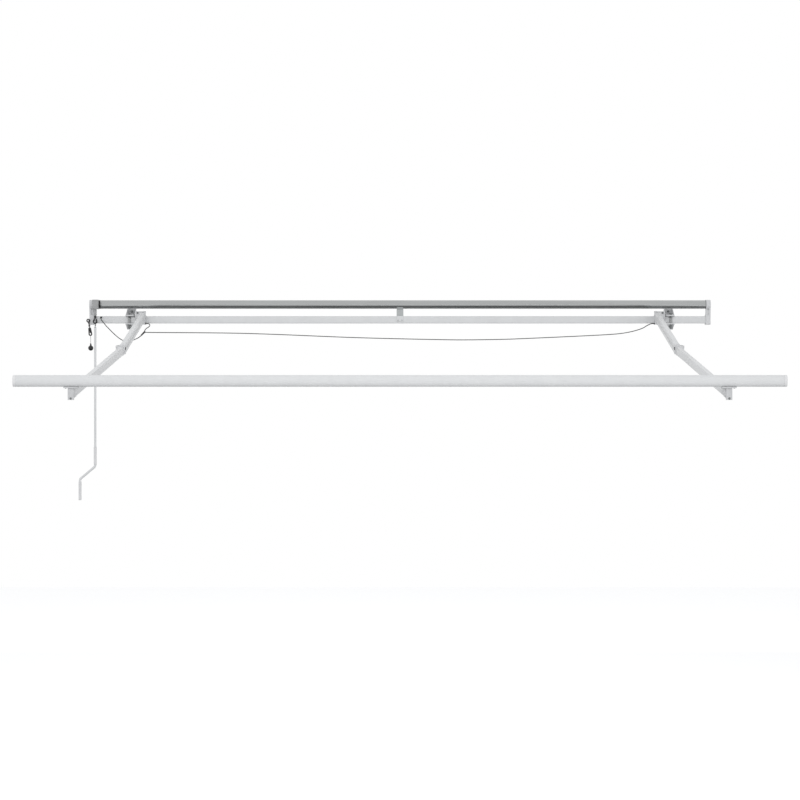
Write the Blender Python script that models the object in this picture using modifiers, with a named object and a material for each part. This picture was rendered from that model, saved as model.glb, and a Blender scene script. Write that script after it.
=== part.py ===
"""Folding-arm awning frame: a torsion bar on two wall brackets, a cloth roller with a worm gear and
a hand crank, two spring arms that fold inwards, a front bar, and the lead of the arms' lights.

Metres, +Z up, +X along the front bar. The wall is the plane Y = 0 and the frame reaches out along -Y.
The origin is in the wall's plane, at the middle of the torsion bar and at its height.
"""
import math

import bmesh
import bpy
from mathutils import Matrix, Vector

# Overall sizes
GAP = 0.0003
HALF_WIDTH = 1.750
BAR_SIZE = 0.040
BAR_Y = -0.060
BAR_END = 1.735
BAR_FRONT = BAR_Y - BAR_SIZE / 2
SEAT = BAR_SIZE / 2 + GAP
END_X = 1.7505

# Roller tube
ROLLER_Y = -0.072
ROLLER_Z = 0.086
ROLLER_R = 0.0242
ROLLER_LEFT = -1.6886
ROLLER_RIGHT = 1.7222

# Wall brackets
BRACKET_X = 1.521
BRACKET_W = 0.050
BRACKET_TOP = 0.064
BRACKET_BOTTOM = -0.053
PLATE_T = 0.007
JAW_T = 0.008
WALL_BOLT_Z = (0.0497, -0.0406)
LOCK_BOLT_Y = -0.0885
LOCK_BOLT_X = BRACKET_X + 0.005

# Worm gear
TEETH = 11
WHEEL_PITCH_R = 0.022
WORM_PITCH_R = 0.0075
WORM_X = -1.7152
WORM_Y = ROLLER_Y - WHEEL_PITCH_R - WORM_PITCH_R
WORM_LEAD = 2 * math.pi * WHEEL_PITCH_R / TEETH

# Arms: plan places of the pivots and the tilt of the plane that they fold in
TILT = math.radians(10.7)
SHOULDER_X = 1.442
SHOULDER_Y = -0.145
SHOULDER_Z = 0.015
FRONT_PIVOT_X = 1.488
ELBOW_IN = 0.012
UPPER_LENGTH = 1.156
FORE_LENGTH = UPPER_LENGTH + 0.047
ELBOW_SIDE = 0.019
UPPER_W = 0.026
UPPER_H = 0.050
FORE_W = 0.024
FORE_H = 0.042
PIN_R = 0.0050
LUG_INNER = 0.0125
KNUCKLE_HALF = LUG_INNER - GAP
PITCH_BACK = 0.041
PITCH_PIVOT = (SHOULDER_Y + PITCH_BACK * math.cos(TILT), SHOULDER_Z + PITCH_BACK * math.sin(TILT))
LOCK_RADIUS = 0.018
SLOT_ANGLES = (74, 121)
SLOT_HALF_W = 0.0034
STRIP_H = 0.0120

# Front bar
FRONT_Y = -2.480
FRONT_Z = -0.3663
FRONT_H = 0.0528
FRONT_D = 0.045
CAP_T = 0.0135

# Crank
EYE_R = 0.0041
EYE_HALF_W = 0.0094
EYE_BOTTOM = -0.0202
EYE_TOP = 0.0120
HOOK_R = 0.0035
ROD_R = 0.0066
ROD_TOP = -0.0466
CRANK_BEND_Z = -0.826
CRANK_OFFSET = 0.0853
CRANK_LOW_Z = -0.898
CRANK_END_Z = -1.016

# Pendant, on a peg of the left end bracket
PENDANT_PEG = (-1.7556, -0.0040)
PENDANT_Y = BAR_Y - 0.033
PENDANT_LEAN = math.radians(12.0)
PEG_REAR = BAR_Y - 0.026
PEG_FRONT = BAR_Y - 0.040
PEG_R = 0.0020
RING_MAJOR = 0.0076
RING_MINOR = 0.0028
HOOK_TOP = (-1.7482, -0.0467)
HOOK_LOW = (-1.7424, -0.0885)
CORD_R = 0.0010
CORD_TOP = (-1.7422, -0.0918)
CORD_END = (-1.7416, -0.1335)

# Lead of the arms' lights
GROMMET_X = -1.685
GROMMET_Z = 0.012
GLAND_AT = (BAR_Y - 0.0223, -0.0223)
LEAD_R = 0.0023
NOZZLE = 0.0078
LEAD_START = (GROMMET_X, BAR_FRONT - 0.0031, GROMMET_Z)
SPLITTER_IN = (-1.4612, -0.0700, -0.0893)
SPLITTER_OUT = (-1.4430, -0.0680, -0.0700)

WHITE = ((0.86, 0.87, 0.88), 0.38, 0.0)
GALVANISED = ((0.62, 0.63, 0.64), 0.28, 1.0)
STEEL = ((0.55, 0.56, 0.57), 0.35, 1.0)
CAST_GREY = ((0.50, 0.51, 0.51), 0.50, 0.2)
PLASTIC_GREY = ((0.62, 0.64, 0.64), 0.55, 0.0)
PLASTIC_WHITE = ((0.80, 0.80, 0.80), 0.45, 0.0)
BLACK = ((0.03, 0.03, 0.03), 0.45, 0.0)
CABLE_GREY = ((0.42, 0.43, 0.43), 0.60, 0.0)
BRONZE = ((0.55, 0.40, 0.20), 0.40, 1.0)

for old in list(bpy.data.objects):
    bpy.data.objects.remove(old, do_unlink=True)

AWNING = bpy.data.collections.new("awning_frame")
CUTTERS = bpy.data.collections.new("cutters")
bpy.context.scene.collection.children.link(AWNING)
bpy.context.scene.collection.children.link(CUTTERS)

# Outlines


def arc(cx, cy, r, start, end, steps):
    """Points along a circle's arc, angles in degrees."""
    angles = [math.radians(start + (end - start) * i / steps) for i in range(steps + 1)]
    return [(cx + r * math.cos(a), cy + r * math.sin(a)) for a in angles]


def circle(cx, cy, r, steps=12):
    return arc(cx, cy, r, 0.0, 360.0, steps)[:-1]


def rounded(cx, cy, w, h, r, steps=2):
    """A rectangle with round corners."""
    x, y = w / 2 - r, h / 2 - r
    corners = ((x, -y, -90), (x, y, 0), (-x, y, 90), (-x, -y, 180))
    return [p for dx, dy, a in corners for p in arc(cx + dx, cy + dy, r, a, a + 90, steps)]


def hull(points):
    """The convex outline round a set of points."""
    ordered = sorted(set(points))

    def half(run):
        chain = []
        for p in run:
            while len(chain) > 1 and turn(chain[-2], chain[-1], p) <= 1e-12:
                chain.pop()
            chain.append(p)
        return chain[:-1]

    return half(ordered) + half(reversed(ordered))


def turn(a, b, c):
    return (b[0] - a[0]) * (c[1] - a[1]) - (b[1] - a[1]) * (c[0] - a[0])


# Objects

AXES = {
    "X": Matrix(((0, 0, 1), (1, 0, 0), (0, 1, 0))).to_4x4(),
    "Y": Matrix(((0, 1, 0), (0, 0, 1), (1, 0, 0))).to_4x4(),
    "Z": Matrix.Identity(4),
}


def frame(name, location, turn_x=0.0, turn_z=0.0, parent=None):
    """An empty on a joint's axis that carries the pieces of one moving body."""
    empty = bpy.data.objects.new(name, None)
    empty.empty_display_size = 0.05
    empty.location = location
    empty.rotation_euler = (turn_x, 0.0, turn_z)
    empty.parent = parent
    AWNING.objects.link(empty)
    return empty


def shape(mesh, parent, place):
    """A guide object in the cutters' collection, until a piece claims it."""
    obj = bpy.data.objects.new("guide", mesh)
    obj.parent = parent
    obj.matrix_local = place
    obj.display_type = "WIRE"
    obj.hide_render = True
    CUTTERS.objects.link(obj)
    return obj


def mesh_of(curve_obj):
    """A curve's evaluated mesh with its caps welded on."""
    CUTTERS.objects.link(curve_obj)
    bpy.context.view_layer.update()
    depsgraph = bpy.context.evaluated_depsgraph_get()
    mesh = bpy.data.meshes.new_from_object(curve_obj.evaluated_get(depsgraph))
    bpy.data.objects.remove(curve_obj, do_unlink=True)
    bm = bmesh.new()
    bm.from_mesh(mesh)
    bmesh.ops.remove_doubles(bm, verts=bm.verts, dist=1e-6)
    bmesh.ops.recalc_face_normals(bm, faces=bm.faces)
    bm.to_mesh(mesh)
    bm.free()
    return mesh


def prism(loops, start, end, axis, parent=None):
    """Outlines filled and extruded along an axis; their points are on the next two axes in X, Y, Z order."""
    curve = bpy.data.curves.new("outline", "CURVE")
    curve.dimensions = "2D"
    curve.fill_mode = "BOTH"
    curve.extrude = abs(end - start) / 2
    for loop in loops:
        spline = curve.splines.new("POLY")
        spline.points.add(len(loop) - 1)
        spline.use_cyclic_u = True
        for point, (a, b) in zip(spline.points, loop):
            point.co = (a, b, 0.0, 1.0)
    mesh = mesh_of(bpy.data.objects.new("outline", curve))
    place = AXES[axis] @ Matrix.Translation((0, 0, (start + end) / 2))
    return shape(mesh, parent, place)


def cylinder(r, start, end, axis, at, parent=None, steps=12, top_r=None):
    """A round bar or cone along an axis; `at` holds its centre on the next two axes."""
    mesh = bpy.data.meshes.new("cylinder")
    bm = bmesh.new()
    bmesh.ops.create_cone(
        bm, cap_ends=True, segments=steps, radius1=r, radius2=r if top_r is None else top_r,
        depth=end - start)
    bm.to_mesh(mesh)
    bm.free()
    place = AXES[axis] @ Matrix.Translation((at[0], at[1], (start + end) / 2))
    return shape(mesh, parent, place)


def block(low, high, parent=None, bevel=0.0):
    """A box between two corners, with its long edges rounded where a bevel is given."""
    lo = Vector([min(a, b) for a, b in zip(low, high)])
    hi = Vector([max(a, b) for a, b in zip(low, high)])
    mesh = bpy.data.meshes.new("block")
    bm = bmesh.new()
    bmesh.ops.create_cube(bm, size=1.0)
    bmesh.ops.scale(bm, verts=bm.verts, vec=hi - lo)
    bm.to_mesh(mesh)
    bm.free()
    obj = shape(mesh, parent, Matrix.Translation((lo + hi) / 2))
    if bevel:
        modifier = obj.modifiers.new("edges", "BEVEL")
        modifier.width = bevel
        modifier.segments = 1
    return obj


def turned(profile, axis, at, parent=None, steps=14, ring=False):
    """A revolved piece: a profile of (radius, height), top to bottom on its outer side."""
    mesh = bpy.data.meshes.new("profile")
    edges = [(i, i + 1) for i in range(len(profile) - 1)]
    if ring:
        edges.append((len(profile) - 1, 0))
    mesh.from_pydata([(r, 0.0, h) for r, h in profile], edges, [])
    place = AXES[axis] @ Matrix.Translation((at[0], at[1], 0.0))
    obj = shape(mesh, parent, place)
    screw = obj.modifiers.new("turn", "SCREW")
    screw.steps = steps
    screw.render_steps = steps
    screw.use_merge_vertices = True
    screw.merge_threshold = 1e-5
    return obj


def wire(points, r, parent=None, resolution=2, cyclic=False):
    """A round bar bent along points, with filled ends."""
    curve = bpy.data.curves.new("wire", "CURVE")
    curve.dimensions = "3D"
    curve.bevel_depth = r
    curve.bevel_resolution = resolution
    curve.use_fill_caps = not cyclic
    spline = curve.splines.new("POLY")
    spline.points.add(len(points) - 1)
    spline.use_cyclic_u = cyclic
    for point, co in zip(spline.points, points):
        point.co = (*co, 1.0)
    return shape(mesh_of(bpy.data.objects.new("wire", curve)), parent, Matrix.Identity(4))


def change(obj, tools, operation):
    for tool in tools:
        modifier = obj.modifiers.new(operation.lower(), "BOOLEAN")
        modifier.operation = operation
        modifier.solver = "EXACT"
        modifier.object = tool
    return obj


def join(obj, *tools):
    return change(obj, tools, "UNION")


def cut(obj, *tools):
    return change(obj, tools, "DIFFERENCE")


def piece(name, obj, finish):
    """Name a finished shape, give it its material and move it into the awning's collection."""
    colour, roughness, metallic = finish
    material = bpy.data.materials.new(name)
    material.use_nodes = True
    shader = material.node_tree.nodes["Principled BSDF"]
    shader.inputs["Base Color"].default_value = (*colour, 1.0)
    shader.inputs["Roughness"].default_value = roughness
    shader.inputs["Metallic"].default_value = metallic
    obj.data.materials.clear()
    obj.data.materials.append(material)
    obj.name = name
    obj.display_type = "TEXTURED"
    obj.hide_render = False
    CUTTERS.objects.unlink(obj)
    AWNING.objects.link(obj)
    if not any(m.type == "SCREW" for m in obj.modifiers):
        obj.data.shade_smooth()
        obj.data.set_sharp_from_angle(angle=math.radians(32))
    return obj


def hexagon(r, start, end, axis, at, parent=None):
    return cylinder(r, start, end, axis, at, parent, steps=6)


def smooth_route(points, per_span=2):
    """Points along a smooth curve through a cord's own points, closer where those are close."""
    pts = [Vector(p) for p in points]
    ends = [2 * pts[0] - pts[1]] + pts + [2 * pts[-1] - pts[-2]]
    route = []
    for a, b, c, d in zip(ends, ends[1:], ends[2:], ends[3:]):
        for i in range(per_span):
            t = i / per_span
            route.append(0.5 * (2 * b + (c - a) * t + (2 * a - 5 * b + 4 * c - d) * t * t
                                + (3 * b - a - 3 * c + d) * t ** 3))
    return route + [pts[-1]]


# Torsion bar and what holds it to the wall

def torsion_bar():
    tube = prism([rounded(BAR_Y, 0, BAR_SIZE, BAR_SIZE, 0.004),
                  rounded(BAR_Y, 0, BAR_SIZE - 0.004, BAR_SIZE - 0.004, 0.002)],
                 -BAR_END, BAR_END, "X")
    hole = cylinder(0.0045, BAR_FRONT - 0.005, BAR_FRONT + 0.008, "Y", (GROMMET_Z, GROMMET_X))
    piece("torsion_bar", cut(tube, hole), WHITE)


def cable_grommet():
    """A rubber button in the bar's hole, where the lights' lead comes out."""
    neck = cylinder(0.0042, BAR_FRONT - 0.001, BAR_FRONT + 0.004, "Y", (GROMMET_Z, GROMMET_X))
    flange = cylinder(0.0046, BAR_FRONT - 0.0028, BAR_FRONT - GAP, "Y", (GROMMET_Z, GROMMET_X),
                      top_r=0.0062)
    piece("cable_grommet", join(flange, neck), PLASTIC_GREY)


def wall_bracket(side, name):
    """A wall plate with two jaws that cradle the bar, gussets, and the wall bolts' heads."""
    x = side * BRACKET_X
    front = LOCK_BOLT_Y - 0.008
    jaw = SEAT + JAW_T
    outline = [(0, BRACKET_BOTTOM), (0, BRACKET_TOP), (-PLATE_T, BRACKET_TOP), (-PLATE_T, jaw),
               (front, jaw), (front, SEAT), (BAR_Y + SEAT, SEAT), (BAR_Y + SEAT, -SEAT),
               (front, -SEAT), (front, -jaw), (-PLATE_T, -jaw), (-PLATE_T, BRACKET_BOTTOM)]
    body = prism([outline], x - BRACKET_W / 2, x + BRACKET_W / 2, "X")
    for edge in (-1, 1):
        outer = x + edge * BRACKET_W / 2
        for z, tip in ((BRACKET_TOP, jaw), (BRACKET_BOTTOM, -jaw)):
            rib = [(-0.004, z), (-0.004, tip * 0.9), (front + 0.012, tip * 0.9), (front + 0.016, tip),
                   (-0.012, z)]
            join(body, prism([rib], outer - edge * 0.005, outer, "X"))
    for z in WALL_BOLT_Z:
        join(body, cylinder(0.0095, -PLATE_T - 0.002, -PLATE_T + 0.001, "Y", (z, x)),
             hexagon(0.0080, -PLATE_T - 0.0085, -PLATE_T - 0.001, "Y", (z, x)),
             cylinder(0.0045, -PLATE_T - 0.0125, -PLATE_T - 0.008, "Y", (z, x), steps=8))
    hole = cylinder(0.0054, -0.060, 0.060, "Z", (side * LOCK_BOLT_X, LOCK_BOLT_Y), steps=12)
    piece("wall_bracket_" + name, cut(body, hole), WHITE)


def bar_lock_bolt(side, name):
    """The upright bolt in front of the bar that locks it in the cradle."""
    at = (side * LOCK_BOLT_X, LOCK_BOLT_Y)
    jaw = SEAT + JAW_T + GAP
    shaft = cylinder(0.0050, -0.052, jaw + 0.004, "Z", at, steps=12)
    join(shaft, hexagon(0.0088, jaw, jaw + 0.0065, "Z", at),
         cylinder(0.0110, -jaw - 0.0022, -jaw, "Z", at),
         hexagon(0.0095, -jaw - 0.0200, -jaw - 0.0020, "Z", at))
    piece("bar_lock_bolt_" + name, shaft, STEEL)


def end_bracket(side, name):
    """A cast end: a socket on the torsion bar's end, a stem, and the head that bears the roller."""
    outer, inner = side * END_X, side * (END_X - 0.008)
    head = circle(ROLLER_Y, ROLLER_Z, 0.0262, 20)
    socket = rounded(BAR_Y, 0, 0.052, 0.054, 0.004)
    stem = hull(circle(ROLLER_Y, ROLLER_Z, 0.020) + rounded(BAR_Y, 0, 0.040, 0.050, 0.004, 1))
    body = prism([stem], inner, outer, "X")
    join(body, prism([head], inner, outer - side * 0.0005, "X"),
         prism([socket], inner, outer - side * 0.0003, "X"),
         prism([socket, rounded(BAR_Y, 0, 2 * SEAT, 2 * SEAT, 0.003)],
               inner + side * 0.001, side * 1.7240, "X"))
    spine = block((inner + side * 0.001, BAR_Y - 0.014, 0.0255), (side * 1.7170, BAR_Y + 0.004, 0.0590),
                  bevel=0.0015)
    join(body, spine)
    face = 0.0160 - WORM_X if side < 0 else 1.7315
    boss_r = 0.0230
    join(body, cylinder(boss_r, *sorted((side * face, inner + side * 0.001)), "X", (ROLLER_Y, ROLLER_Z)))
    for z in (-0.014, 0.014):
        recess = cylinder(0.0042, *sorted((outer - side * 0.0035, outer + side * 0.002)), "X",
                          (BAR_Y, z), steps=12)
        cut(body, recess)
    if side > 0:
        cut(body, cylinder(0.0073, 1.70, 1.80, "X", (ROLLER_Y, ROLLER_Z)))
    if side < 0:
        peg_x, peg_z = PENDANT_PEG
        join(body, block((outer + 0.001, PEG_REAR, peg_z - 0.004),
                         (peg_x - 0.0022, PEG_REAR + 0.006, peg_z + 0.004)),
             cylinder(PEG_R, PEG_FRONT, PEG_REAR + 0.001, "Y", (peg_z, peg_x), steps=10),
             cylinder(0.0032, PEG_FRONT - 0.0015, PEG_FRONT + 0.0005, "Y", (peg_z, peg_x), steps=10))
    piece("end_bracket_" + name, body, WHITE)


# Roller, its worm gear and its supports


def channel_outline(r, depth, half_angle, steps=32):
    """A round tube's outline with the cloth channel pressed into its top."""
    points = []
    for i in range(steps):
        angle = 360.0 * i / steps
        off = abs((angle - 90.0 + 180.0) % 360.0 - 180.0)
        if off > half_angle:
            points.append((angle, r))
    sides = [(90 - half_angle, r), (90 - half_angle * 0.62, r - depth),
             (90 + half_angle * 0.62, r - depth), (90 + half_angle, r)]
    ordered = sorted(points + sides)
    return [(ROLLER_Y + q * math.cos(math.radians(a)), ROLLER_Z + q * math.sin(math.radians(a)))
            for a, q in ordered]


def roller_tube():
    body = prism([channel_outline(ROLLER_R, 0.0070, 9.0), channel_outline(ROLLER_R - 0.0012, 0.0072, 14.0)],
                 ROLLER_LEFT, ROLLER_RIGHT, "X")
    piece("roller_tube", body, GALVANISED)


def plug_core(start, end):
    plug = cylinder(ROLLER_R - 0.0017, start, end, "X", (ROLLER_Y, ROLLER_Z), steps=28)
    slot = block((start - 0.001, ROLLER_Y - 0.0068, ROLLER_Z + 0.0145),
                 (end + 0.001, ROLLER_Y + 0.0068, ROLLER_Z + 0.03))
    return cut(plug, slot)


def roller_plug_left():
    """The black drive plug: a collar on the tube's end and a core with a square socket."""
    axis = (ROLLER_Y, ROLLER_Z)
    body = plug_core(ROLLER_LEFT - 0.002, ROLLER_LEFT + 0.034)
    join(body, cylinder(ROLLER_R + 0.0003, ROLLER_LEFT - 0.0056, ROLLER_LEFT - GAP, "X", axis, steps=32))
    socket = block((ROLLER_LEFT - 0.02, ROLLER_Y - 0.0063, ROLLER_Z - 0.0063),
                   (ROLLER_LEFT + 0.030, ROLLER_Y + 0.0063, ROLLER_Z + 0.0063))
    piece("roller_plug_left", cut(body, socket), BLACK)


def roller_plug_right():
    axis = (ROLLER_Y, ROLLER_Z)
    body = plug_core(ROLLER_RIGHT - 0.034, ROLLER_RIGHT + 0.002)
    join(body, cylinder(ROLLER_R + 0.0003, ROLLER_RIGHT + GAP, ROLLER_RIGHT + 0.0065, "X", axis, steps=32),
         cylinder(0.0070, ROLLER_RIGHT + 0.004, END_X - 0.002, "X", axis))
    piece("roller_plug_right", body, BLACK)


def worm_wheel():
    """The wheel with its teeth leaned to the worm's lead, its square shaft and its stub."""
    half = 0.006
    root, tip = 0.0172, 0.0230
    pitch = 360.0 / TEETH
    outline = []
    for k in range(TEETH):
        centre = 180.0 + k * pitch
        for offset, r in ((-10.5, root), (-6.0, WHEEL_PITCH_R - 0.001), (-4.2, tip),
                          (4.2, tip), (6.0, WHEEL_PITCH_R - 0.001), (10.5, root)):
            a = math.radians(centre + offset)
            outline.append((r * math.cos(a), r * math.sin(a)))
    wheel = prism([outline], -half, half, "Z")
    lean = WORM_LEAD / (2 * math.pi * WORM_PITCH_R) / WHEEL_PITCH_R
    for vertex in wheel.data.vertices:
        vertex.co.xy = Matrix.Rotation(lean * vertex.co.z, 2) @ vertex.co.xy
    wheel.matrix_local = Matrix.Translation((WORM_X, ROLLER_Y, ROLLER_Z)) @ AXES["X"]
    axis = (ROLLER_Y, ROLLER_Z)
    shaft = block((WORM_X + 0.004, ROLLER_Y - 0.006, ROLLER_Z - 0.006),
                  (ROLLER_LEFT + 0.026, ROLLER_Y + 0.006, ROLLER_Z + 0.006))
    join(wheel, shaft, cylinder(0.0095, WORM_X + 0.005, WORM_X + 0.009, "X", axis),
         cylinder(0.0060, WORM_X - 0.0152, WORM_X - 0.004, "X", axis))
    piece("worm_wheel", wheel, BRONZE)


def crank_worm():
    """The worm and its shaft, upright in front of the wheel; the thread is a turned ridge."""
    turns, per_turn = 3, 10
    ridge = ((0.0044, 0.0031), (0.0100, 0.0015), (0.0100, -0.0015), (0.0044, -0.0031))
    mesh = bpy.data.meshes.new("thread")
    bm = bmesh.new()
    ring = [bm.verts.new((0.0, r, h - turns * WORM_LEAD / 2)) for r, h in ridge]
    edges = [bm.edges.new((a, b)) for a, b in zip(ring, ring[1:] + ring[:1])]
    bm.faces.new(ring)
    result = bmesh.ops.spin(
        bm, geom=edges, cent=(0, 0, 0), axis=(0, 0, 1), dvec=(0, 0, WORM_LEAD / per_turn),
        angle=2 * math.pi * turns, steps=turns * per_turn)
    last = [e for e in result["geom_last"] if isinstance(e, bmesh.types.BMEdge)]
    bmesh.ops.contextual_create(bm, geom=last)
    bmesh.ops.recalc_face_normals(bm, faces=bm.faces)
    bm.to_mesh(mesh)
    bm.free()
    thread = shape(mesh, None, Matrix.Translation((WORM_X, WORM_Y, ROLLER_Z)))
    shaft = cylinder(0.0050, 0.0453, ROLLER_Z + 0.0215, "Z", (WORM_X, WORM_Y), steps=14)
    piece("crank_worm", join(shaft, thread), STEEL)


def gear_housing():
    """The cast gear case, hollow round the wheel and the worm, with a neck for the worm's shaft."""
    axis = (ROLLER_Y, ROLLER_Z)
    worm = (WORM_X, WORM_Y)
    left, right = WORM_X - 0.0157, WORM_X + 0.0190
    body = cylinder(0.0265, left, right - 0.0005, "X", axis, steps=20)
    join(body, block((left + 0.0010, WORM_Y - 0.0140, ROLLER_Z - 0.0255),
                     (right, ROLLER_Y - 0.004, ROLLER_Z + 0.0255), bevel=0.002),
         cylinder(0.0070, EYE_TOP + 0.0097, ROLLER_Z - 0.0240, "Z", worm))
    for dz in (0.0205, -0.0205):
        screw_at = (ROLLER_Y - 0.035, ROLLER_Z + dz)
        join(body, cylinder(0.0034, right - 0.001, right + 0.0022, "X", screw_at, steps=8))
    cut(body, cylinder(0.0248, WORM_X - 0.0080, WORM_X + 0.0098, "X", axis, steps=18),
        cylinder(0.0112, ROLLER_Z - 0.0225, ROLLER_Z + 0.0225, "Z", worm),
        cylinder(0.0050 + GAP, EYE_TOP, ROLLER_Z, "Z", worm, steps=14),
        cylinder(0.0063, left - 0.002, WORM_X, "X", axis),
        cylinder(0.0102, WORM_X, right + 0.002, "X", axis))
    piece("gear_housing", body, CAST_GREY)


def roller_support():
    """The saddle at mid length that keeps the roller from sagging."""
    top = SEAT
    ring = ROLLER_R + 0.0006
    saddle = arc(ROLLER_Y, ROLLER_Z, ring, 220, 320, 8)
    rim = arc(ROLLER_Y, ROLLER_Z, ring + 0.004, 320, 220, 8)
    post = [(BAR_Y - 0.022, top), (BAR_Y + 0.0203, top), (BAR_Y + 0.0203, top + 0.006),
            (ROLLER_Y + 0.011, top + 0.012), (ROLLER_Y + 0.008, ROLLER_Z - ring - 0.002),
            (ROLLER_Y - 0.008, ROLLER_Z - ring - 0.002), (ROLLER_Y - 0.011, top + 0.012),
            (BAR_Y - 0.022, top + 0.006)]
    body = prism([post], -0.019, 0.019, "X")
    join(body, prism([saddle + rim], -0.017, 0.017, "X"),
         block((-0.019, BAR_FRONT - 0.0038, -0.010), (0.019, BAR_FRONT - GAP, top + 0.005)))
    cut(body, cylinder(0.0105, -0.03, 0.03, "X", (ROLLER_Y - 0.030, top + 0.020)))
    for x in (-0.011, 0.011):
        join(body, cylinder(0.0034, BAR_FRONT - 0.0062, BAR_FRONT - 0.003, "Y", (-0.003, x), steps=12))
    piece("roller_support", body, PLASTIC_GREY)


# Hand crank


def bent_path(points, radius, steps=5):
    """A path through corners, each rounded to a bend of the given radius."""
    pts = [Vector(p) for p in points]
    path = [pts[0]]
    for a, b, c in zip(pts, pts[1:], pts[2:]):
        u, v = (a - b).normalized(), (c - b).normalized()
        half = u.angle(v) / 2
        if half > math.radians(89):
            path.append(b)
            continue
        reach = radius / math.tan(half)
        centre = b + (u + v).normalized() * radius / math.sin(half)
        start = (b + u * reach - centre).normalized()
        end = (b + v * reach - centre).normalized()
        for i in range(steps + 1):
            path.append(centre + start.slerp(end, i / steps) * radius)
    path.append(pts[-1])
    return path


def crank_eye():
    """The black drop-shaped eye that the crank hooks into."""
    at = (WORM_X, WORM_Y)
    centre_z = EYE_BOTTOM + EYE_HALF_W
    lean = math.degrees(math.asin(EYE_HALF_W / (EYE_TOP - centre_z)))
    loop = arc(WORM_X, centre_z, EYE_HALF_W, 180.0 - lean, 360.0 + lean, 10) + [(WORM_X, EYE_TOP)]
    body = wire([(x, WORM_Y, z) for x, z in loop], EYE_R, resolution=2, cyclic=True)
    join(body, cylinder(0.0050, EYE_TOP - 0.003, 0.0450, "Z", at, steps=14),
         cylinder(0.0064, EYE_TOP - 0.0005, EYE_TOP + 0.0094, "Z", at, steps=14))
    piece("crank_eye", body, BLACK)


def crank_hook():
    """The steel hook at the crank's head: up, through the eye and down again."""
    reach = 0.0120
    z_in = EYE_BOTTOM + EYE_R + HOOK_R + 0.0010
    path = [(0, 0, ROD_TOP + 0.0020), (0, 0, -0.0375), (0, -reach, -0.0290),
            (0, -reach, z_in), (0, reach, z_in), (0, reach, -0.0320)]
    points = [(WORM_X + x, WORM_Y + y, z) for x, y, z in bent_path(path, 0.0048, 3)]
    body = wire(points, HOOK_R, resolution=2)
    join(body, cylinder(ROD_R - 0.0008, ROD_TOP + GAP, ROD_TOP + 0.0050, "Z", (WORM_X, WORM_Y), steps=20))
    piece("crank_hook", body, STEEL)


def crank_rod():
    low_x = WORM_X - CRANK_OFFSET
    path = [(WORM_X, WORM_Y, ROD_TOP), (WORM_X, WORM_Y, CRANK_BEND_Z),
            (low_x, WORM_Y, CRANK_LOW_Z), (low_x, WORM_Y, CRANK_END_Z + 0.003)]
    body = wire(bent_path(path, 0.018, 4), ROD_R, resolution=2)
    for x, z in ((WORM_X, -0.7180), (WORM_X, -0.8160), (low_x, -0.9140)):
        join(body, cylinder(ROD_R + 0.0012, z - 0.0020, z + 0.0020, "Z", (x, WORM_Y), steps=12))
    join(body, cylinder(ROD_R + 0.0014, CRANK_END_Z, CRANK_END_Z + 0.0040, "Z", (low_x, WORM_Y), steps=12))
    piece("crank_rod", body, WHITE)


def grip(name, x, top, bottom):
    """A sleeve that turns on the rod, waisted and with a rolled rim at each end."""
    inner = ROD_R + 0.0004
    outer = ROD_R + 0.0016
    mid = (top + bottom) / 2
    profile = [(inner, top), (outer, top), (outer + 0.0004, top - 0.002), (outer, top - 0.005),
               (outer - 0.0003, mid), (outer, bottom + 0.005), (outer + 0.0004, bottom + 0.002),
               (outer, bottom), (inner, bottom)]
    piece(name, turned(profile, "Z", (x, WORM_Y), ring=True), PLASTIC_WHITE)


# Pendant on the left end bracket


def pendant_ring():
    """A ring with a tapered lug, a swivel bead and a short stem down to the hook."""
    x, z = PENDANT_PEG
    centre = z + PEG_R + GAP - (RING_MAJOR - RING_MINOR)
    points = [(px, PENDANT_Y, pz) for px, pz in circle(x, centre, RING_MAJOR)]
    body = wire(points, RING_MINOR, resolution=1, cyclic=True)
    lug = pendant_point(centre, 0.0080)
    bead = pendant_point(centre, 0.0290)
    join(body, bar_between(lug, bead, 0.0044, 0.0024), ball(bead, 0.0058),
         bar_between(bead, pendant_point(centre, 0.0375), 0.0024, 0.0020))
    piece("pendant_ring", body, BLACK)


def pendant_point(top, drop):
    """A point down the pendant's own line, which leans as it hangs."""
    return (PENDANT_PEG[0] + drop * math.sin(PENDANT_LEAN), PENDANT_Y, top - drop * math.cos(PENDANT_LEAN))


def bar_between(a, b, r_start, r_end, steps=10):
    """A straight tapered bar between two points."""
    a, b = Vector(a), Vector(b)
    mesh = bpy.data.meshes.new("bar")
    bm = bmesh.new()
    bmesh.ops.create_cone(bm, cap_ends=True, segments=steps, radius1=r_start, radius2=r_end,
                          depth=(b - a).length)
    bm.to_mesh(mesh)
    bm.free()
    place = Matrix.Translation((a + b) / 2) @ (b - a).to_track_quat("Z", "Y").to_matrix().to_4x4()
    return shape(mesh, None, place)


def ball(at, r, steps=10):
    mesh = bpy.data.meshes.new("ball")
    bm = bmesh.new()
    bmesh.ops.create_uvsphere(bm, u_segments=steps, v_segments=steps // 2, radius=r)
    bm.to_mesh(mesh)
    bm.free()
    return shape(mesh, None, Matrix.Translation(at))


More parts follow.
